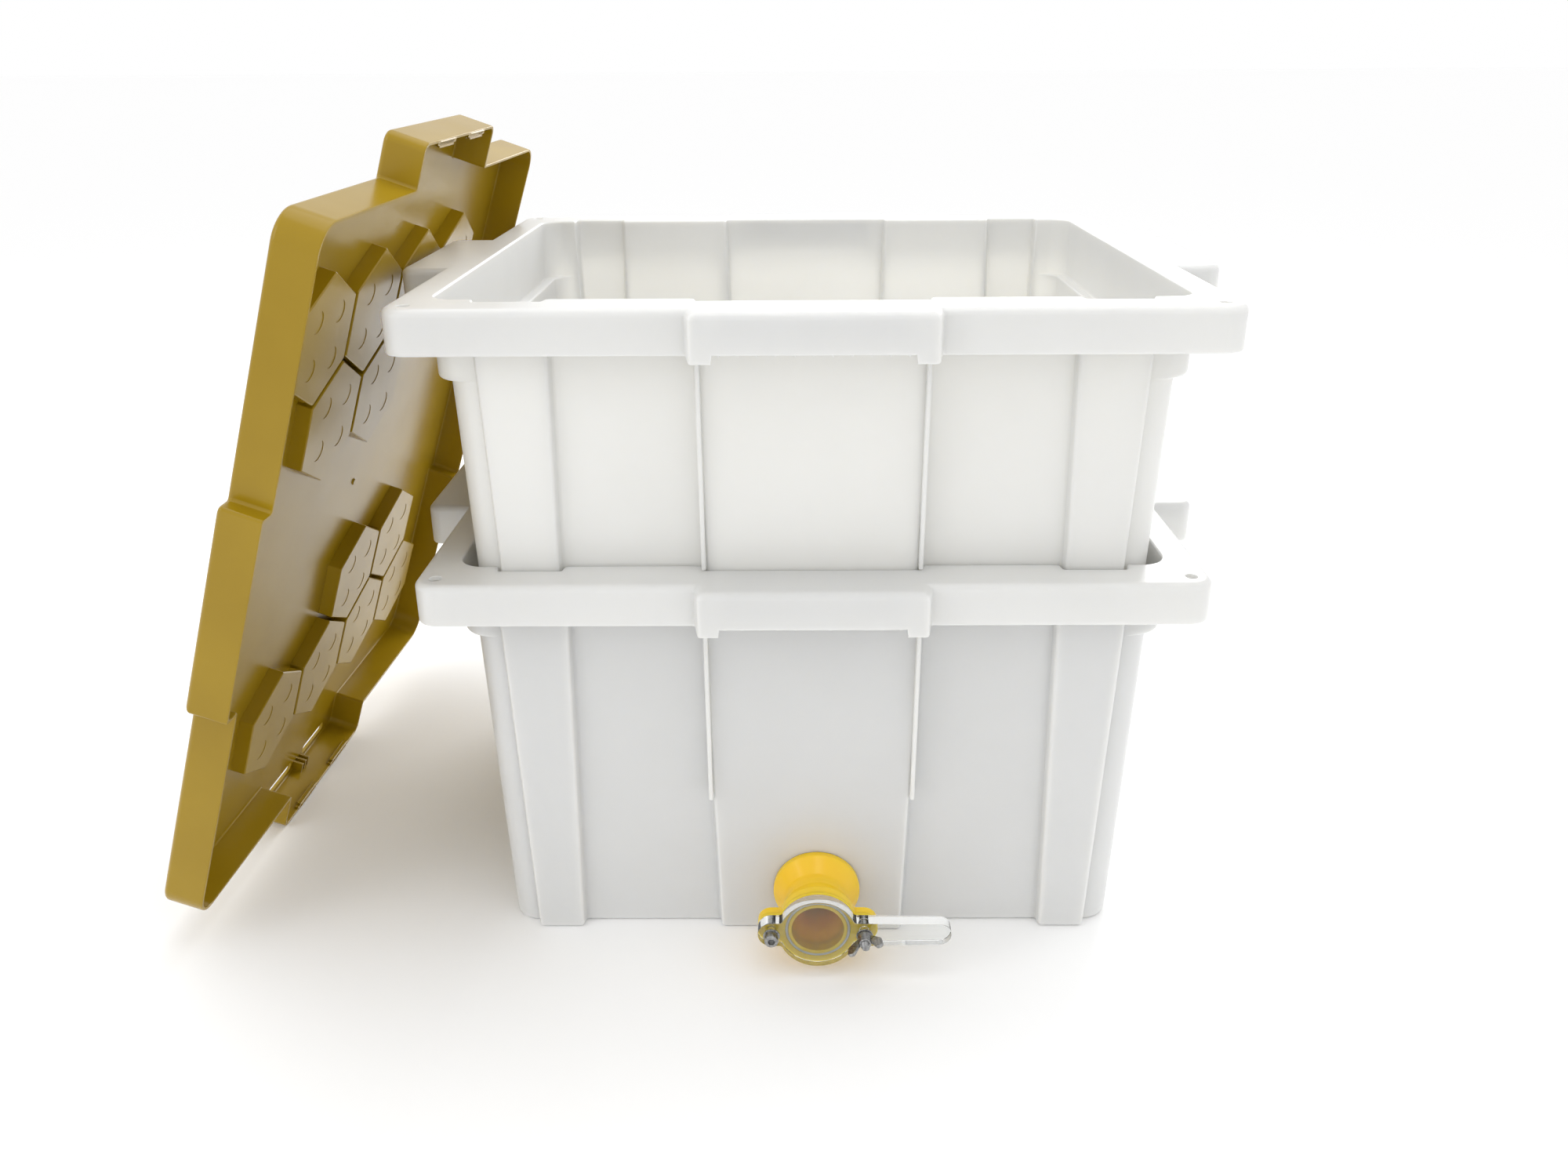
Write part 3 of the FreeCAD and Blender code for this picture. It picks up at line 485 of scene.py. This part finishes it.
def wall_ring(height, inset, end=None):
    """The wall's outline at a height above the tote's foot, moved inwards by inset."""
    slack = (TOTE_HIGH - height) * DRAFT + inset
    end_half = RIM_LONG / 2 - END_INSET - slack if end is None else end - inset
    side = RIM_DEEP / 2 - SIDE_INSET - slack
    proud = side + RELIEF
    out, inner, centre = COLUMN_OUT - slack, COLUMN_IN + slack, CENTRE_HALF - slack
    return rounded(four_ways([
        (end_half, side, WALL_ROUND - inset, 10),
        (out, side, COLUMN_FILLET, 4), (out - RELIEF_SLOPE, proud, RELIEF_ROUND, 4),
        (inner + RELIEF_SLOPE, proud, RELIEF_ROUND, 4), (inner, side, RELIEF_ROUND, 4),
        (centre, side, RELIEF_ROUND, 4), (centre - RELIEF_SLOPE, proud, RELIEF_ROUND, 4)]))


def panel_y(height, inset):
    """How far the raised middle panel stands from the tote's middle."""
    return RIM_DEEP / 2 - SIDE_INSET + RELIEF - (TOTE_HIGH - height) * DRAFT - inset


def rim_ring(inset):
    """The rim's outline, with the bump over each middle panel and its two tabs."""
    half = BUMP_HALF - inset
    face = RIM_DEEP / 2 + BUMP_OUT - inset
    return rounded(four_ways([
        (RIM_LONG / 2 - inset, RIM_DEEP / 2 - inset, RIM_ROUND - inset, 12),
        (half + BUMP_SLOPE, RIM_DEEP / 2 - inset, RELIEF_ROUND, 4),
        (half, face, RELIEF_ROUND, 4),
        (BUMP_HALF - TAB_WIDE + TAB_STEP, face, 0, 0), (BUMP_HALF - TAB_WIDE, face, 0, 0)]))


def skirt_foot(x, y, rim_foot):
    """The skirt's lower edge: raised in the middle of each bump, with a tab at each end."""
    outward = (abs(y) - RIM_DEEP / 2 - BUMP_OUT + 2 * SKIRT) / SKIRT
    on_face = max(0.0, min(1.0, outward))
    if abs(x) < BUMP_HALF - TAB_WIDE + TAB_STEP / 2:
        return rim_foot + BUMP_RISE * on_face
    if abs(x) < BUMP_HALF + BUMP_SLOPE:
        return rim_foot - (TAB_DROP - BUMP_RISE) * on_face
    return rim_foot


def cut_gate_hole(skin, foot, face, outside, inside):
    """A round hole through one face of the front wall; each side is its rings and a number."""
    gate_low, gate_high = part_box("gate_body")
    gate_x, gate_z = (gate_low.x + gate_high.x) / 2, (gate_low.z + gate_high.z) / 2
    spots = circle(STUB_WIDE / 2 + STUB_PLAY, gate_x, gate_z - foot, 48)
    tube = []
    for (rings, number), inset in ((outside, 0.0), (inside, WALL)):
        low, high = rings[number], rings[number + 1]
        hole = [skin.mesh.verts.new((x, -panel_y(z, inset), foot + z)) for x, z in spots]
        skin.fill([low[face], low[face + 1], high[face + 1], high[face]], hole)
        tube.append(hole)
    skin.join(*tube)


def build_tote(name, body, foot, gate_hole, drains):
    """One tote: wall, shoulder, rim channel, skirt, rim top, frame ledge and floor in a skin."""
    skin = Skin()
    top = foot + TOTE_HIGH
    ledge = TOTE_HIGH - SHOULDER_DROP
    shelf = ledge + WALL

    def wall(height, inset=0.0, end=None):
        return skin.ring(wall_ring(height, inset, end), foot + height)

    def end_at(height):
        return RIM_LONG / 2 - END_INSET - (TOTE_HIGH - height) * DRAFT

    # outside: rounded foot, drafted wall, rounded shoulder, up to the underside of the rim
    outside = [wall(drop, tuck) for tuck, drop in quarter_round(FOOT_ROUND)]
    tall_wall = len(outside) - 1
    start, reach = end_at(ledge), SHOULDER_HALF
    for tuck, drop in quarter_round(SHOULDER_ROUND, 4):
        outside.append(wall(ledge - tuck, 0, start + drop))
    for tuck, drop in quarter_round(SHOULDER_ROUND, 4):
        outside.append(wall(ledge + drop, 0, reach - tuck))
    outside.append(wall(TOTE_HIGH - RIM_THICK, 0, reach))

    # inside: rounded lip, wall, frame ledge, wall and rounded floor edge
    inside = [wall(TOTE_HIGH - drop, WALL - tuck, reach)
              for tuck, drop in quarter_round(LIP_ROUND, 3)]
    inside += [wall(shelf + drop, WALL, reach - tuck)
               for tuck, drop in reversed(quarter_round(LIP_ROUND, 3))]
    inside += [wall(shelf - drop, WALL, end_at(shelf) + tuck)
               for tuck, drop in quarter_round(LIP_ROUND, 3)]
    tall_inside = len(inside) - 1
    inside += [wall(FLOOR + drop, WALL + tuck)
               for tuck, drop in reversed(quarter_round(FLOOR_ROUND))]

    # the gate's hole goes through the flat middle panel of the front wall
    skip = ()
    if gate_hole:
        skip = (3 * len(outside[0]) // 4 - 1,)
        cut_gate_hole(skin, foot, skip[0], (outside, tall_wall), (inside, tall_inside))
    wall_top = skin.stack(outside, skip, tall_wall)
    floor_ring = skin.stack(inside, skip, tall_inside)

    # rim: inside of the skirt, its lower edge, outside and rounded top edge
    rim_foot = top - SKIRT_HIGH
    skirt = [skin.ring(rim_ring(SKIRT), top - RIM_THICK)]
    for inset, lift in ((SKIRT, EDGE), (SKIRT - EDGE / 2, 0), (EDGE / 2, 0), (0, EDGE)):
        skirt.append(skin.ring(rim_ring(inset),
                               lambda x, y, lift=lift: skirt_foot(x, y, rim_foot) + lift))
    skirt += [skin.ring(rim_ring(tuck), top - drop)
              for tuck, drop in reversed(quarter_round(CROWN, 6))]
    rim_top = skin.stack(skirt)

    holes = []
    for across in (-1, 1):
        for along in (-1, 1):
            spots = circle(CORNER_HOLE / 2, across * (RIM_LONG / 2 - CORNER_INSET),
                           along * (RIM_DEEP / 2 - CORNER_INSET), 28)
            holes.append([skin.ring(spots, top - RIM_THICK), skin.ring(spots, top)])
    for hole in holes:
        skin.stack(hole)
    skin.fill(wall_top, skirt[0], *[hole[0] for hole in holes])
    skin.fill(rim_top, inside[0], *[hole[1] for hole in holes])

    drips = []
    if drains:
        drips = [[skin.ring(circle(DRAIN_HOLE / 2, column * DRAIN_PITCH, row * DRAIN_PITCH, 20),
                            height) for height in (foot, foot + FLOOR)]
                 for column in DRAIN_COLUMNS for row in DRAIN_ROWS]
        for drip in drips:
            skin.stack(drip)
    skin.fill(outside[0], *[drip[0] for drip in drips])
    skin.fill(floor_ring, *[drip[1] for drip in drips])

    grown = Skin()
    for way in (-1, 1):
        add_ribs(grown, foot, way)
        for hand in (-1, 1):
            add_fin(grown, foot, way, hand * (CENTRE_HALF - RELIEF_SLOPE - FIN_INSET))
        add_grip(grown, foot, way)
    skin.finish(name + "_shell", body, "tote_plastic", name, grown=grown)


def add_ribs(skin, foot, way):
    """The ribs between the wall and the bump of the skirt, which show below its edge."""
    face = RIM_DEEP / 2 + BUMP_OUT
    low = foot + TOTE_HIGH - SKIRT_HIGH + BUMP_RISE - RIB_DROP
    for k in range(-5, 6):
        x = k * RIB_PITCH
        skin.box((x - RIB_THICK / 2, way * (face - SKIRT + OVERLAP), low),
                 (x + RIB_THICK / 2, way * (face - BUMP_OUT - SIDE_INSET + RELIEF - RIB_INSET),
                  foot + TOTE_HIGH - RIM_THICK + OVERLAP), RIB_ROUND)


def add_fin(skin, foot, way, x):
    """A fin that grows out of the middle panel's edge, up to the tab above it."""
    low, high = TOTE_HIGH - STACK_PITCH + FIN_GAP, TOTE_HIGH - SKIRT_HIGH + 1 * MM
    outline = [(panel_y(low, FIN_ROOT), low), (panel_y(low, -FIN_FOOT), low),
               (panel_y(high, -FIN_TOP), high), (panel_y(high, FIN_ROOT), high)]
    sides = [[skin.mesh.verts.new((x + across, way * y, foot + z)) for y, z in outline]
             for across in (-FIN_THICK / 2, FIN_THICK / 2)]
    skin.join(*sides)
    for side in sides:
        skin.cap(side)
    skin.soften(sides[0] + sides[1], FIN_ROUND, 3)


def add_grip(skin, foot, side):
    """An end grip: a rounded shelf with a downturned lip and ribs underneath."""
    top = foot + TOTE_HIGH
    low = top - GRIP_HIGH

    def plan(inset, root_inset=0.0):
        root = RIM_LONG / 2 - CROWN - GRIP_ROOT + root_inset
        half, tip = GRIP_HALF - inset, GRIP_REACH - inset
        turn = GRIP_ROUND - inset
        return [(side * x, y) for x, y in rounded([
            (root, -half, 0, 0), (tip, -half, turn, 8), (tip, half, turn, 8),
            (root, half, 0, 0)])]

    rings = [skin.ring(plan(SKIRT, SKIRT), top - RIM_THICK),
             skin.ring(plan(SKIRT, SKIRT), low + EDGE),
             skin.ring(plan(SKIRT - EDGE / 2, SKIRT), low),
             skin.ring(plan(EDGE / 2), low), skin.ring(plan(0), low + EDGE)]
    rings += [skin.ring(plan(tuck), top - GRIP_DROP - drop)
              for tuck, drop in reversed(quarter_round(CROWN, 6))]
    skin.cap(rings[0])
    skin.cap(skin.stack(rings))
    for k in range(-9, 10):
        y = k * GRIP_RIB_PITCH
        skin.box((side * (RIM_LONG / 2 + 0.5 * MM), y - RIB_THICK / 2,
                  top - RIM_THICK - GRIP_RIB_DEEP),
                 (side * (GRIP_REACH - SKIRT + OVERLAP), y + RIB_THICK / 2,
                  top - RIM_THICK + OVERLAP), SMALL_ROUND)


# ---- lid ----

def lid_ring(inset):
    """The lid's outline, with a bump on each of its four sides."""
    across, up = LID_DEEP / 2 - inset, LID_LONG / 2 - inset
    turn = RELIEF_ROUND
    return rounded(four_ways([
        (across + SIDE_BUMP_OUT, SIDE_BUMP_HALF - inset, turn + inset / 2, 4),
        (across, SIDE_BUMP_HALF - inset, turn, 4),
        (across, up, LID_ROUND - inset, 12),
        (END_BUMP_HALF - inset, up, turn, 4),
        (END_BUMP_HALF - inset, up + END_BUMP_OUT, 3 * turn - inset / 2, 6)]))


def add_hexagon(skin, x, y):
    """A hexagon, hollow outside and raised inside with four round marks. Returns its outlines."""
    dent = hexagon(2 * (HEX_SIZE - LID_WALL), x, y, HEX_FIRST_ANGLE, DENT_CORNER)
    hollow = [skin.ring(dent, 0), skin.ring(dent, HEX_DEEP)]
    skin.cap(skin.stack(hollow))
    boss = hexagon(2 * HEX_SIZE, x, y, HEX_FIRST_ANGLE, BOSS_CORNER)
    boss_top = LID_WALL + HEX_DEEP
    raised = [skin.ring(boss, LID_WALL), skin.ring(boss, boss_top - EDGE),
              skin.ring(shrunk(boss, EDGE), boss_top)]
    marks = []
    for mark_x, mark_y in ((1, 1), (-1, 1), (-1, -1), (1, -1)):
        mark = circle(MARK_WIDE / 2, x + mark_x * MARK_APART / 2,
                      y + mark_y * MARK_APART / 2, 28)
        marks.append([skin.ring(mark, boss_top), skin.ring(mark, boss_top - MARK_DEEP)])
        skin.cap(skin.stack(marks[-1]))
    skin.stack(raised)
    skin.fill(raised[-1], *[mark[0] for mark in marks])
    return hollow[0], raised[0]


def add_slot(skin, middle, end, edge):
    """A slot in an end bump, with a snap lip over it. Returns the slot's outlines."""
    low, high = sorted((end * (edge - SLOT_WIDE - SLOT_MARGIN), end * (edge - SLOT_MARGIN)))
    slot = rounded([(middle + across * SLOT_LONG / 2, up, SLOT_ROUND, 4)
                    for across, up in ((-1, low), (1, low), (1, high), (-1, high))])
    tube = [skin.ring(slot, 0), skin.ring(slot, LID_WALL)]
    skin.stack(tube)
    for reach, wide, soft in ((HOOK_REACH, 0, EDGE), (HOOK_REACH / 2, HOOK_FOOT, SMALL_ROUND)):
        half = HOOK_LONG / 2 + wide
        skin.box((middle - half, end * (edge - reach), LID_HIGH - HOOK_THICK),
                 (middle + half, end * (edge + BUMP_OVERLAP), LID_HIGH - 0.1 * MM), soft)
    return tube


def add_end_ribs(skin, end, edge):
    """Three small ribs between the slots of an end bump."""
    for k in (-1, 0, 1):
        x = k * END_RIB_PITCH
        skin.box((x - END_RIB_THICK / 2, end * (edge - END_RIB_LONG), LID_WALL - BUMP_OVERLAP),
                 (x + END_RIB_THICK / 2, end * (edge + BUMP_OVERLAP), LID_WALL + END_RIB_LONG),
                 SMALL_ROUND)


def build_lid():
    """The lid: a shallow tray with bumps on its four sides and twelve raised hexagons."""
    turn = Euler((LID_ROLL, LID_LEAN, LID_YAW)).to_matrix()
    face_on = Matrix((turn.col[1], turn.col[2], turn.col[0])).transposed().to_4x4()
    skin = Skin(Matrix.Translation(LID_PLACE) @ face_on)

    rings = [skin.ring(lid_ring(tuck), drop) for tuck, drop in quarter_round(LID_CROWN)]
    rings += [skin.ring(lid_ring(0), LID_HIGH - EDGE), skin.ring(lid_ring(EDGE / 2), LID_HIGH),
              skin.ring(lid_ring(LID_WALL - EDGE / 2), LID_HIGH),
              skin.ring(lid_ring(LID_WALL), LID_HIGH - EDGE)]
    rings += [skin.ring(lid_ring(LID_WALL + tuck), LID_WALL + drop)
              for tuck, drop in reversed(quarter_round(LIP_ROUND, 4))]
    skin.stack(rings)

    # pairs of outlines that the outer and the inner face are cut by
    holes = [(rings[0], rings[-1])]
    row_step = math.sqrt(3) / 2
    far = HEX_FIRST_ROW + row_step
    spots = ([(k - HEX_FOUR_START, far) for k in range(4)]
             + [(k - HEX_TWO_START, far - row_step) for k in range(2)])
    spots += [(-across, -up) for across, up in spots]
    holes += [add_hexagon(skin, across * HEX_PITCH, up * HEX_PITCH) for across, up in spots]
    edge = LID_LONG / 2 + END_BUMP_OUT - LID_WALL
    for end in (-1, 1):
        holes += [add_slot(skin, side * SLOT_OFF, end, edge) for side in (-1, 1)]
        add_end_ribs(skin, end, edge)

    sprue = [skin.ring(circle(SPRUE_FOOT, 0, 0, 24), LID_WALL),
             skin.ring(circle(SPRUE_TOP, 0, 0, 24), LID_WALL + SPRUE_HIGH)]
    skin.cap(skin.stack(sprue))
    skin.fill(*[outer for outer, inner in holes])
    skin.fill(*[inner for outer, inner in holes], sprue[0])
    skin.finish("lid_shell", "cover", "lid_plastic", "lid")


# ---- honey gate ----

def lug_quarter(disc, reach, half, tip_round, fillet=3.0 * MM, tip_half=None):
    """From (reach, 0) round an ear's tip and edge, through a fillet, round a disc to (0, disc)."""
    tip_half = tip_half or half
    points = [(reach - tip_round + tip_round * math.cos(a), tip_half - tip_round
               + tip_round * math.sin(a)) for a in [math.pi / 2 * k / 8 for k in range(9)]]
    centre = Vector((math.sqrt((disc + fillet) ** 2 - (half + fillet) ** 2), half + fillet))
    stop = math.atan2(-centre.y, -centre.x)
    for k in range(7):
        angle = -math.pi / 2 + (stop + math.pi / 2) * k / 6
        points.append((centre.x + fillet * math.cos(angle), centre.y + fillet * math.sin(angle)))
    start = centre.angle(Vector((1, 0)))
    points += [(disc * math.cos(start + (math.pi / 2 - start) * k / 14),
                disc * math.sin(start + (math.pi / 2 - start) * k / 14)) for k in range(1, 15)]
    return points


def whole(right, left, below=None):
    """A closed outline from quarters: right, left, and another lower right where one is given."""
    below = below or right
    return (right + [(-x, y) for x, y in reversed(left)][1:] + [(-x, -y) for x, y in left][1:]
            + [(x, -y) for x, y in reversed(below)][1:-1])


def thread(skin, radius, low, high, pitch, depth, steps=24):
    """A threaded rod between two heights, with a small point at its high end."""
    count = int((high - low) / pitch * 6)
    rings = []
    for k in range(count + 1):
        height = low + (high - low) * k / count
        rise = [abs(((height / pitch - step / steps) % 1) * 2 - 1) for step in range(steps)]
        rings.append([skin.mesh.verts.new(skin.place @ Vector(
            ((radius - depth * rise[step]) * math.cos(math.tau * step / steps),
             (radius - depth * rise[step]) * math.sin(math.tau * step / steps), height)))
            for step in range(steps)])
    skin.cap(rings[0])
    rings.append(skin.ring(circle(radius * 0.68, steps=steps), high + THREAD_POINT))
    skin.cap(skin.stack(rings))


def on_axis(along=0.0):
    """A frame on the bore's or a bolt's axis, with its height running forwards from y 0."""
    low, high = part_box("gate_body")
    middle = (low + high) / 2
    return Matrix.Translation((middle.x + along, 0, middle.z)) @ FORWARDS


def ahead(node):
    """Where a node starts and ends along the axis, as heights."""
    low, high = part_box(node)
    return -high.y, -low.y


def build_gate_body():
    """The stub, flange and waisted neck, and a plate with two ears and a seal groove."""
    back, front = ahead("gate_body")
    plate_back = front - PLATE_THICK
    face = back + STUB_LONG
    neck = face + FLANGE_THICK
    groove = front - SEAL_DEEP - SHELL_OVERLAP
    bore = GATE_BORE / 2
    skin = Skin(on_axis())
    skin.turned(rounded([
        (bore, back, 0, 0), (STUB_WIDE / 2, back, 1 * MM, 3), (STUB_WIDE / 2, face, 0, 0),
        (FLANGE_WIDE / 2, face, 0, 0), (FLANGE_WIDE / 2, neck, 1.6 * MM, 4),
        (NECK_WIDE / 2, neck + 13 * MM, 9 * MM, 8), (NECK_WIDE / 2, neck + 20 * MM, 6 * MM, 6),
        (NECK_WIDE / 2 + 2 * MM, plate_back + 1 * MM, 0, 0), (bore, plate_back + 1 * MM, 0, 0)]))
    ear = lug_quarter(PLATE_WIDE / 2, BOLT_X + EAR_HALF, EAR_HALF, EAR_HALF - TIP_GAP)
    bolt_holes = [circle(BOLT_WIDE / 2 + BOLT_PLAY, side * BOLT_X, 0, 24) for side in (-1, 1)]
    skin.slab(whole(ear, ear), plate_back, front - SEAL_DEEP, 1.0 * MM,
              [circle(bore, steps=72)] + bolt_holes)
    skin.slab(whole(ear, ear), groove, front, 0.5 * MM,
              [circle(SEAL_RING + SEAL_CORD, steps=72)] + bolt_holes)
    skin.turned([(bore, groove), (SEAL_RING - SEAL_CORD, groove),
                 (SEAL_RING - SEAL_CORD, front), (bore, front)])
    skin.finish("gate_body_shell", "base", "gate_plastic", "gate_body")


def build_blade():
    """A clear disc, an ear on the pivot, and a lever with a slot that opens downwards."""
    low, high = ahead("gate_blade")
    body_box, blade_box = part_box("gate_body"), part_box("gate_blade")
    middle_x = (body_box[0].x + body_box[1].x) / 2
    left = lug_quarter(BLADE_DISC / 2, middle_x - blade_box[0].x, EAR_HALF, EAR_HALF - TIP_GAP)
    right = lug_quarter(BLADE_DISC / 2, blade_box[1].x - middle_x, EAR_HALF,
                        BLADE_END - 2 * TIP_GAP, tip_half=BLADE_END)
    half_slot = BLADE_SLOT / 2
    cut = [(BOLT_X + half_slot * math.cos(angle), -half_slot * math.sin(angle))
           for angle in [math.pi * k / 8 for k in range(9)]]
    tip_points = 9      # of a quarter's points, those round the ear's tip
    below = (right[:tip_points] + [(BOLT_X + half_slot - SLOT_FLARE, EAR_HALF)] + cut
             + [(BOLT_X - half_slot - SLOT_FLARE, EAR_HALF)] + right[tip_points:])
    skin = Skin(on_axis())
    skin.slab(whole(right, left, below), low, high, 0.5 * MM,
              [circle(BOLT_WIDE / 2 + BOLT_PLAY, -BOLT_X, 0, 24)])
    skin.finish("gate_blade_clear", "blade", "clear_acrylic", "gate_blade")


def build_pivot_screw():
    """A socket-head screw, threaded at its back end."""
    low, high = ahead("pivot_bolt")
    skin = Skin(on_axis(-BOLT_X))
    head_back = high - HEAD_THICK
    head = [skin.ring(circle(HEAD_WIDE / 2 - tuck, steps=40), height) for tuck, height in
            ((0, head_back), (0, high - 0.9 * MM), (0.3 * MM, high - 0.3 * MM), (0.9 * MM, high))]
    socket = [skin.ring(hexagon(KEY_WIDE - 0.1 * MM, corner=0.2 * MM), height)
              for height in (high, high - KEY_DEEP)]
    skin.cap(head[0])
    skin.stack(head)
    skin.fill(head[-1], socket[0])
    skin.cap(skin.stack(socket))
    thread(skin, BOLT_WIDE / 2, low + THREAD_POINT, low + PIVOT_THREAD, THREAD_PITCH,
           THREAD_DEEP)
    shank = [skin.ring(circle(BOLT_WIDE / 2 - BOLT_PLAY, steps=32), height)
             for height in (low + PIVOT_THREAD - 0.5 * MM, head_back + 0.5 * MM)]
    skin.cap(shank[0])
    skin.cap(skin.stack(shank))
    skin.finish("pivot_screw", "base", "steel", "pivot_bolt")


def build_clamp_screw():
    """A hexagon bolt whose thread carries the wing nut."""
    low, high = ahead("clamp_bolt")
    skin = Skin(on_axis(BOLT_X))
    skin.slab(hexagon(NUT_WIDE, corner=NUT_CORNER), low, low + 0.7 * HEAD_THICK, PART_EDGE)
    thread(skin, BOLT_WIDE / 2, low + 0.5 * HEAD_THICK, high - THREAD_POINT, THREAD_PITCH,
           THREAD_DEEP)
    skin.finish("clamp_screw", "base", "steel", "clamp_bolt")


def build_ring(node, side, outline):
    """A washer or a nut on the bolt at one side of the bore."""
    low, high = ahead(node)
    skin = Skin(on_axis(side * BOLT_X))
    skin.slab(outline, low, high, PART_EDGE, [circle(BOLT_WIDE / 2, steps=32)])
    skin.finish(node + "_steel", "base", "steel", node)


def build_wing_nut():
    """A conical hub and two flared wings."""
    low = ahead("wing_nut")[0]
    skin = Skin(on_axis(BOLT_X) @ Matrix.Rotation(WING_TURN, 4, "Z"))
    bore = BOLT_WIDE / 2 + BOLT_PLAY
    top, reach = low + WING_HUB_LONG, WING_SPAN / 2
    skin.turned(rounded([(bore, low, 0, 0), (WING_HUB / 2, low, 0.6 * MM, 3),
                         (WING_HUB / 2 - 1.2 * MM, top, 0.8 * MM, 3), (bore, top, 0, 0)]), 40)
    root, wing_foot, wing_top = bore + 0.9 * MM, low + 1.6 * MM, low + WING_RISE
    wing = rounded([
        (root, wing_foot, 1 * MM, 2), (WING_HUB / 2, wing_foot, 1 * MM, 3),
        (reach - 1 * MM, wing_top - 8 * MM, 3 * MM, 5), (reach, wing_top, 2.4 * MM, 6),
        (reach - 5 * MM, wing_top, 2 * MM, 5), (root, top - 0.6 * MM, 1 * MM, 2)])
    upright = skin.place @ FORWARDS
    for side in (-1, 1):
        skin.place = upright @ Matrix.Diagonal((side, 1, side, 1))
        skin.slab(wing, -WING_THICK / 2, WING_THICK / 2, 0.8 * MM)
    skin.finish("wing_nut_cast", "wing", "steel", "wing_nut")


# ---- assembly ----

make_camera()
make_stage()
make_lights()
MATERIALS = {
    "tote_plastic": plastic("tote_plastic", (0.70, 0.70, 0.685), (0.72, 0.72, 0.705), 0.3,
                            soft=1.0, depth=0.007),
    "lid_plastic": plastic("lid_plastic", (0.31, 0.195, 0.004), (0.35, 0.225, 0.007), 0.24,
                           waves=0.4, index=1.42),
    "gate_plastic": plastic("gate_plastic", (0.97, 0.57, 0.012), (0.98, 0.62, 0.018), 0.2,
                            soft=0.6, depth=0.008, waves=0.1),
    "clear_acrylic": acrylic("clear_acrylic"),
    "seal_rubber": rubber("seal_rubber"),
    "steel": steel("steel"),
}
for part in frame["record"]["subparts"]:
    node = frame["nodes"][part["node"]]
    node.data.materials.clear()
    node.data.materials.append(MATERIALS[part["material_slot"]])

build_tote("lower_tote", "base", 0.0, True, False)
build_tote("upper_tote", "upper", STACK_PITCH, False, True)
build_lid()
build_gate_body()
build_blade()
build_pivot_screw()
build_clamp_screw()
build_ring("pivot_washer", -1, circle(WASHER_WIDE / 2, steps=40))
build_ring("clamp_washer", 1, circle(WASHER_WIDE / 2, steps=40))
build_ring("pivot_nut", -1, hexagon(NUT_WIDE, corner=NUT_CORNER))
build_wing_nut()
